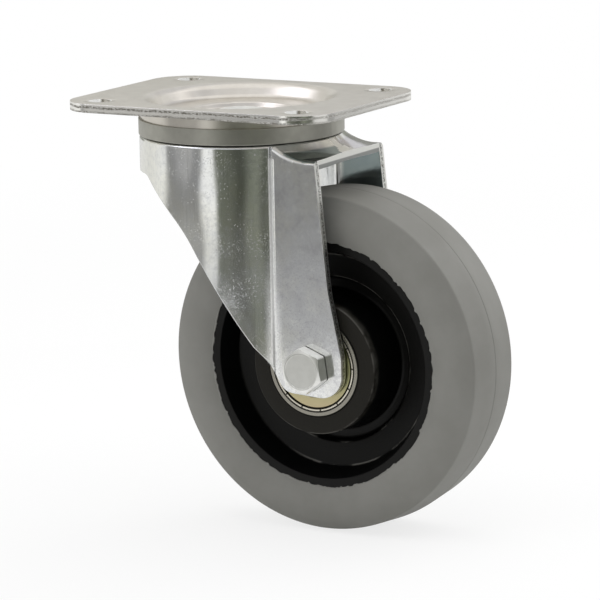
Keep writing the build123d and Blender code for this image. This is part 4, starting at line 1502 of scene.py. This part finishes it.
# %% Brightness all the way round
# Each pair is an angle from the camera's direction, positive to its right, and the brightness
# there.
CARD_STOPS = (
    (-180, 0.78), (-128, 0.84), (-120, 0.82), (-92, 0.95), (-87, 0.27), (-47, 0.26),
    (-42.5, 1.0), (-31, 1.0), (-27.5, 0.17), (-10, 0.125), (-2, 0.08), (4, 0.09),
    (9, 0.19), (18, 0.24), (23, 0.11), (34, 0.13), (40, 0.70), (75, 0.75),
    (80, 0.35), (110, 0.35), (116, 0.8), (180, 0.8),
)
DARK_BELOW = 0.25
OLIVE_WHITE, WARM_WHITE = (0.94, 1.0, 0.80), (1.0, 1.0, 0.98)

card_stops = []
for degree, value in CARD_STOPS:
    tint = OLIVE_WHITE if value < DARK_BELOW else WARM_WHITE
    card_stops.append(((degree + 180) / 360, [value * share for share in tint]))
print(len(card_stops), "stops from", CARD_STOPS[0][0], "to", CARD_STOPS[-1][0], "degrees")

# %% [markdown]
# Some panels don't reach from top to bottom. Each of these is a share, worked out from the angle
# (0 to 1, with the camera at a half) and the height in millimetres, and is laid over the bands
# like a coat of paint. Two bright panels high up at the sides light the plate and the tops of
# the legs, and a low dark strip behind gives the far leg its edge.

# %% Ring of cards that only reflections see
CARDS_R = 0.42
CARDS_TOP = 0.62
CARD_SIDES = 96
LOW_LEFT, LOW_RIGHT, GREY_CARD = (0.60, 0.60, 0.60), (0.25, 0.25, 0.24), (0.55, 0.54, 0.52)
STRIP, HIGH_WHITE, BEHIND_WHITE = (0.31, 0.315, 0.275), (0.77, 0.78, 0.82), (0.85, 0.85, 0.83)
HIGH_LEFT, HIGH_RIGHT = (2.25, 2.24, 2.42), (1.48, 1.46, 1.47)


def card_finish():
    cards = Finish("studio_cards")
    x, y, z = cards.place()
    towards = x * level.y - y * level.x
    aside = x * level.x + y * level.y
    angle = aside.angle(towards) / (2 * pi) + 0.5
    bands = add_node(cards.tree, "ShaderNodeValToRGB", {0: angle}, stops=card_stops)
    low_tone = cards.blend(angle.rise(0.36, 0.385), LOW_LEFT, LOW_RIGHT)
    strip = abs(angle - 0.5).rise(0.37, 0.40) * z.rise(-40, -20) * z.rise(72, 58)
    behind_left = angle.rise(0.20, 0.13) * z.rise(60, 90)
    high_left = angle.rise(0.13, 0.16) * angle.rise(0.35, 0.32) * z.rise(190, 260)
    high_right = angle.rise(0.74, 0.77) * angle.rise(0.86, 0.83) * z.rise(230, 300)
    low_left = angle.rise(0.27, 0.30) * angle.rise(0.352, 0.345) * z.rise(-78, -68) * z.rise(0, -20)
    colour = cards.layers(
        bands.outputs[0],
        (z.rise(-105, -190) * 0.58, low_tone),
        (strip, STRIP),
        (z.rise(100, 320), HIGH_WHITE),
        (behind_left, BEHIND_WHITE),
        (high_left, HIGH_LEFT),
        (high_right, HIGH_RIGHT),
        (low_left, GREY_CARD),
    )
    glow = cards.node("ShaderNodeEmission", {"Color": colour, "Strength": 1.0})
    feed(cards.tree, cards.output.inputs["Surface"], glow.outputs[0])
    return cards


ring = round_about(CARDS_R, CARD_SIDES)
points = [(x, y, z) for z in (FLOOR_Z, CARDS_TOP) for x, y in ring]
faces = []
for k in range(CARD_SIDES):
    j = (k + 1) % CARD_SIDES
    faces.append((k, j, CARD_SIDES + j, CARD_SIDES + k))
wall = backdrop("studio_cards", points, faces, card_finish())
for kind in ("camera", "diffuse", "transmission", "volume_scatter", "shadow"):
    setattr(wall, f"visible_{kind}", False)
print("cards", round(2 * CARDS_R, 2), "m across with", len(wall.data.polygons), "faces")

# %% [markdown]
# ## Lamps
# Three large, soft lamps light the castor: one above, one behind that draws its edges, and a
# fill on the left. The one above isn't mirrored, or it would show as a hard white square in
# the plate's dish. Large lamps close by give the soft edge to the shadow under the wheel.

# %% Lamps
LAMPS = (
    # name, direction it comes from, distance, side, watts, whether it is mirrored
    ("top_softbox", (0.15, 0.15, 1.0), 1.2, 1.8, 14.0, False),
    ("rim_softbox", (0.45, 0.9, 0.35), 1.2, 0.8, 4.2, True),
    ("left_softbox", (-0.8, -0.9, 0.45), 1.3, 1.2, 5.0, True),
)
LAMP_AIM = Vector((0.03, 0, -0.1))

for name, direction, reach, side, watts, mirrored in LAMPS:
    light = bpy.data.lights.new(name, "AREA")
    light.shape = "RECTANGLE"
    light.size, light.size_y = side, side
    light.energy = watts
    lamp = put(name, light)
    way = Vector(direction).normalized()
    lamp.location = LAMP_AIM + way * reach
    lamp.rotation_mode = "QUATERNION"
    lamp.rotation_quaternion = way.to_track_quat("Z", "Y")
    lamp.visible_camera = False
    lamp.visible_glossy = mirrored
    print(name, watts, "W at", [round(v, 2) for v in lamp.location])

# %% [markdown]
# ## World
# The world is two backgrounds. A soft fill is what falls on the castor, and a plain white is what
# the camera and reflections see. The first sets the light and the second the backdrop, so the
# backdrop can be white without washing the castor out.

# %% World
SEEN_WHITE = 1.2
FILL, FILL_STRENGTH = (0.98, 0.99, 1.0), 0.45

world = bpy.data.worlds.new("studio")
bpy.context.scene.world = world
world.use_nodes = True
sky = world.node_tree
sky.nodes.clear()
seen, mirrored = seen_and_mirrored(sky)
white = add_node(sky, "ShaderNodeBackground", {"Color": (1, 1, 1), "Strength": SEEN_WHITE})
fill = add_node(sky, "ShaderNodeBackground", {"Color": FILL, "Strength": FILL_STRENGTH})
sockets = {0: seen.most(mirrored), 1: fill.outputs[0], 2: white.outputs[0]}
mixed = add_node(sky, "ShaderNodeMixShader", sockets)
add_node(sky, "ShaderNodeOutputWorld", {"Surface": mixed.outputs[0]})
bpy.context.scene.view_settings.view_transform = "Standard"
print("the world has", len(sky.nodes), "nodes")

# %% [markdown]
# Nothing may stand outside the CAD box.
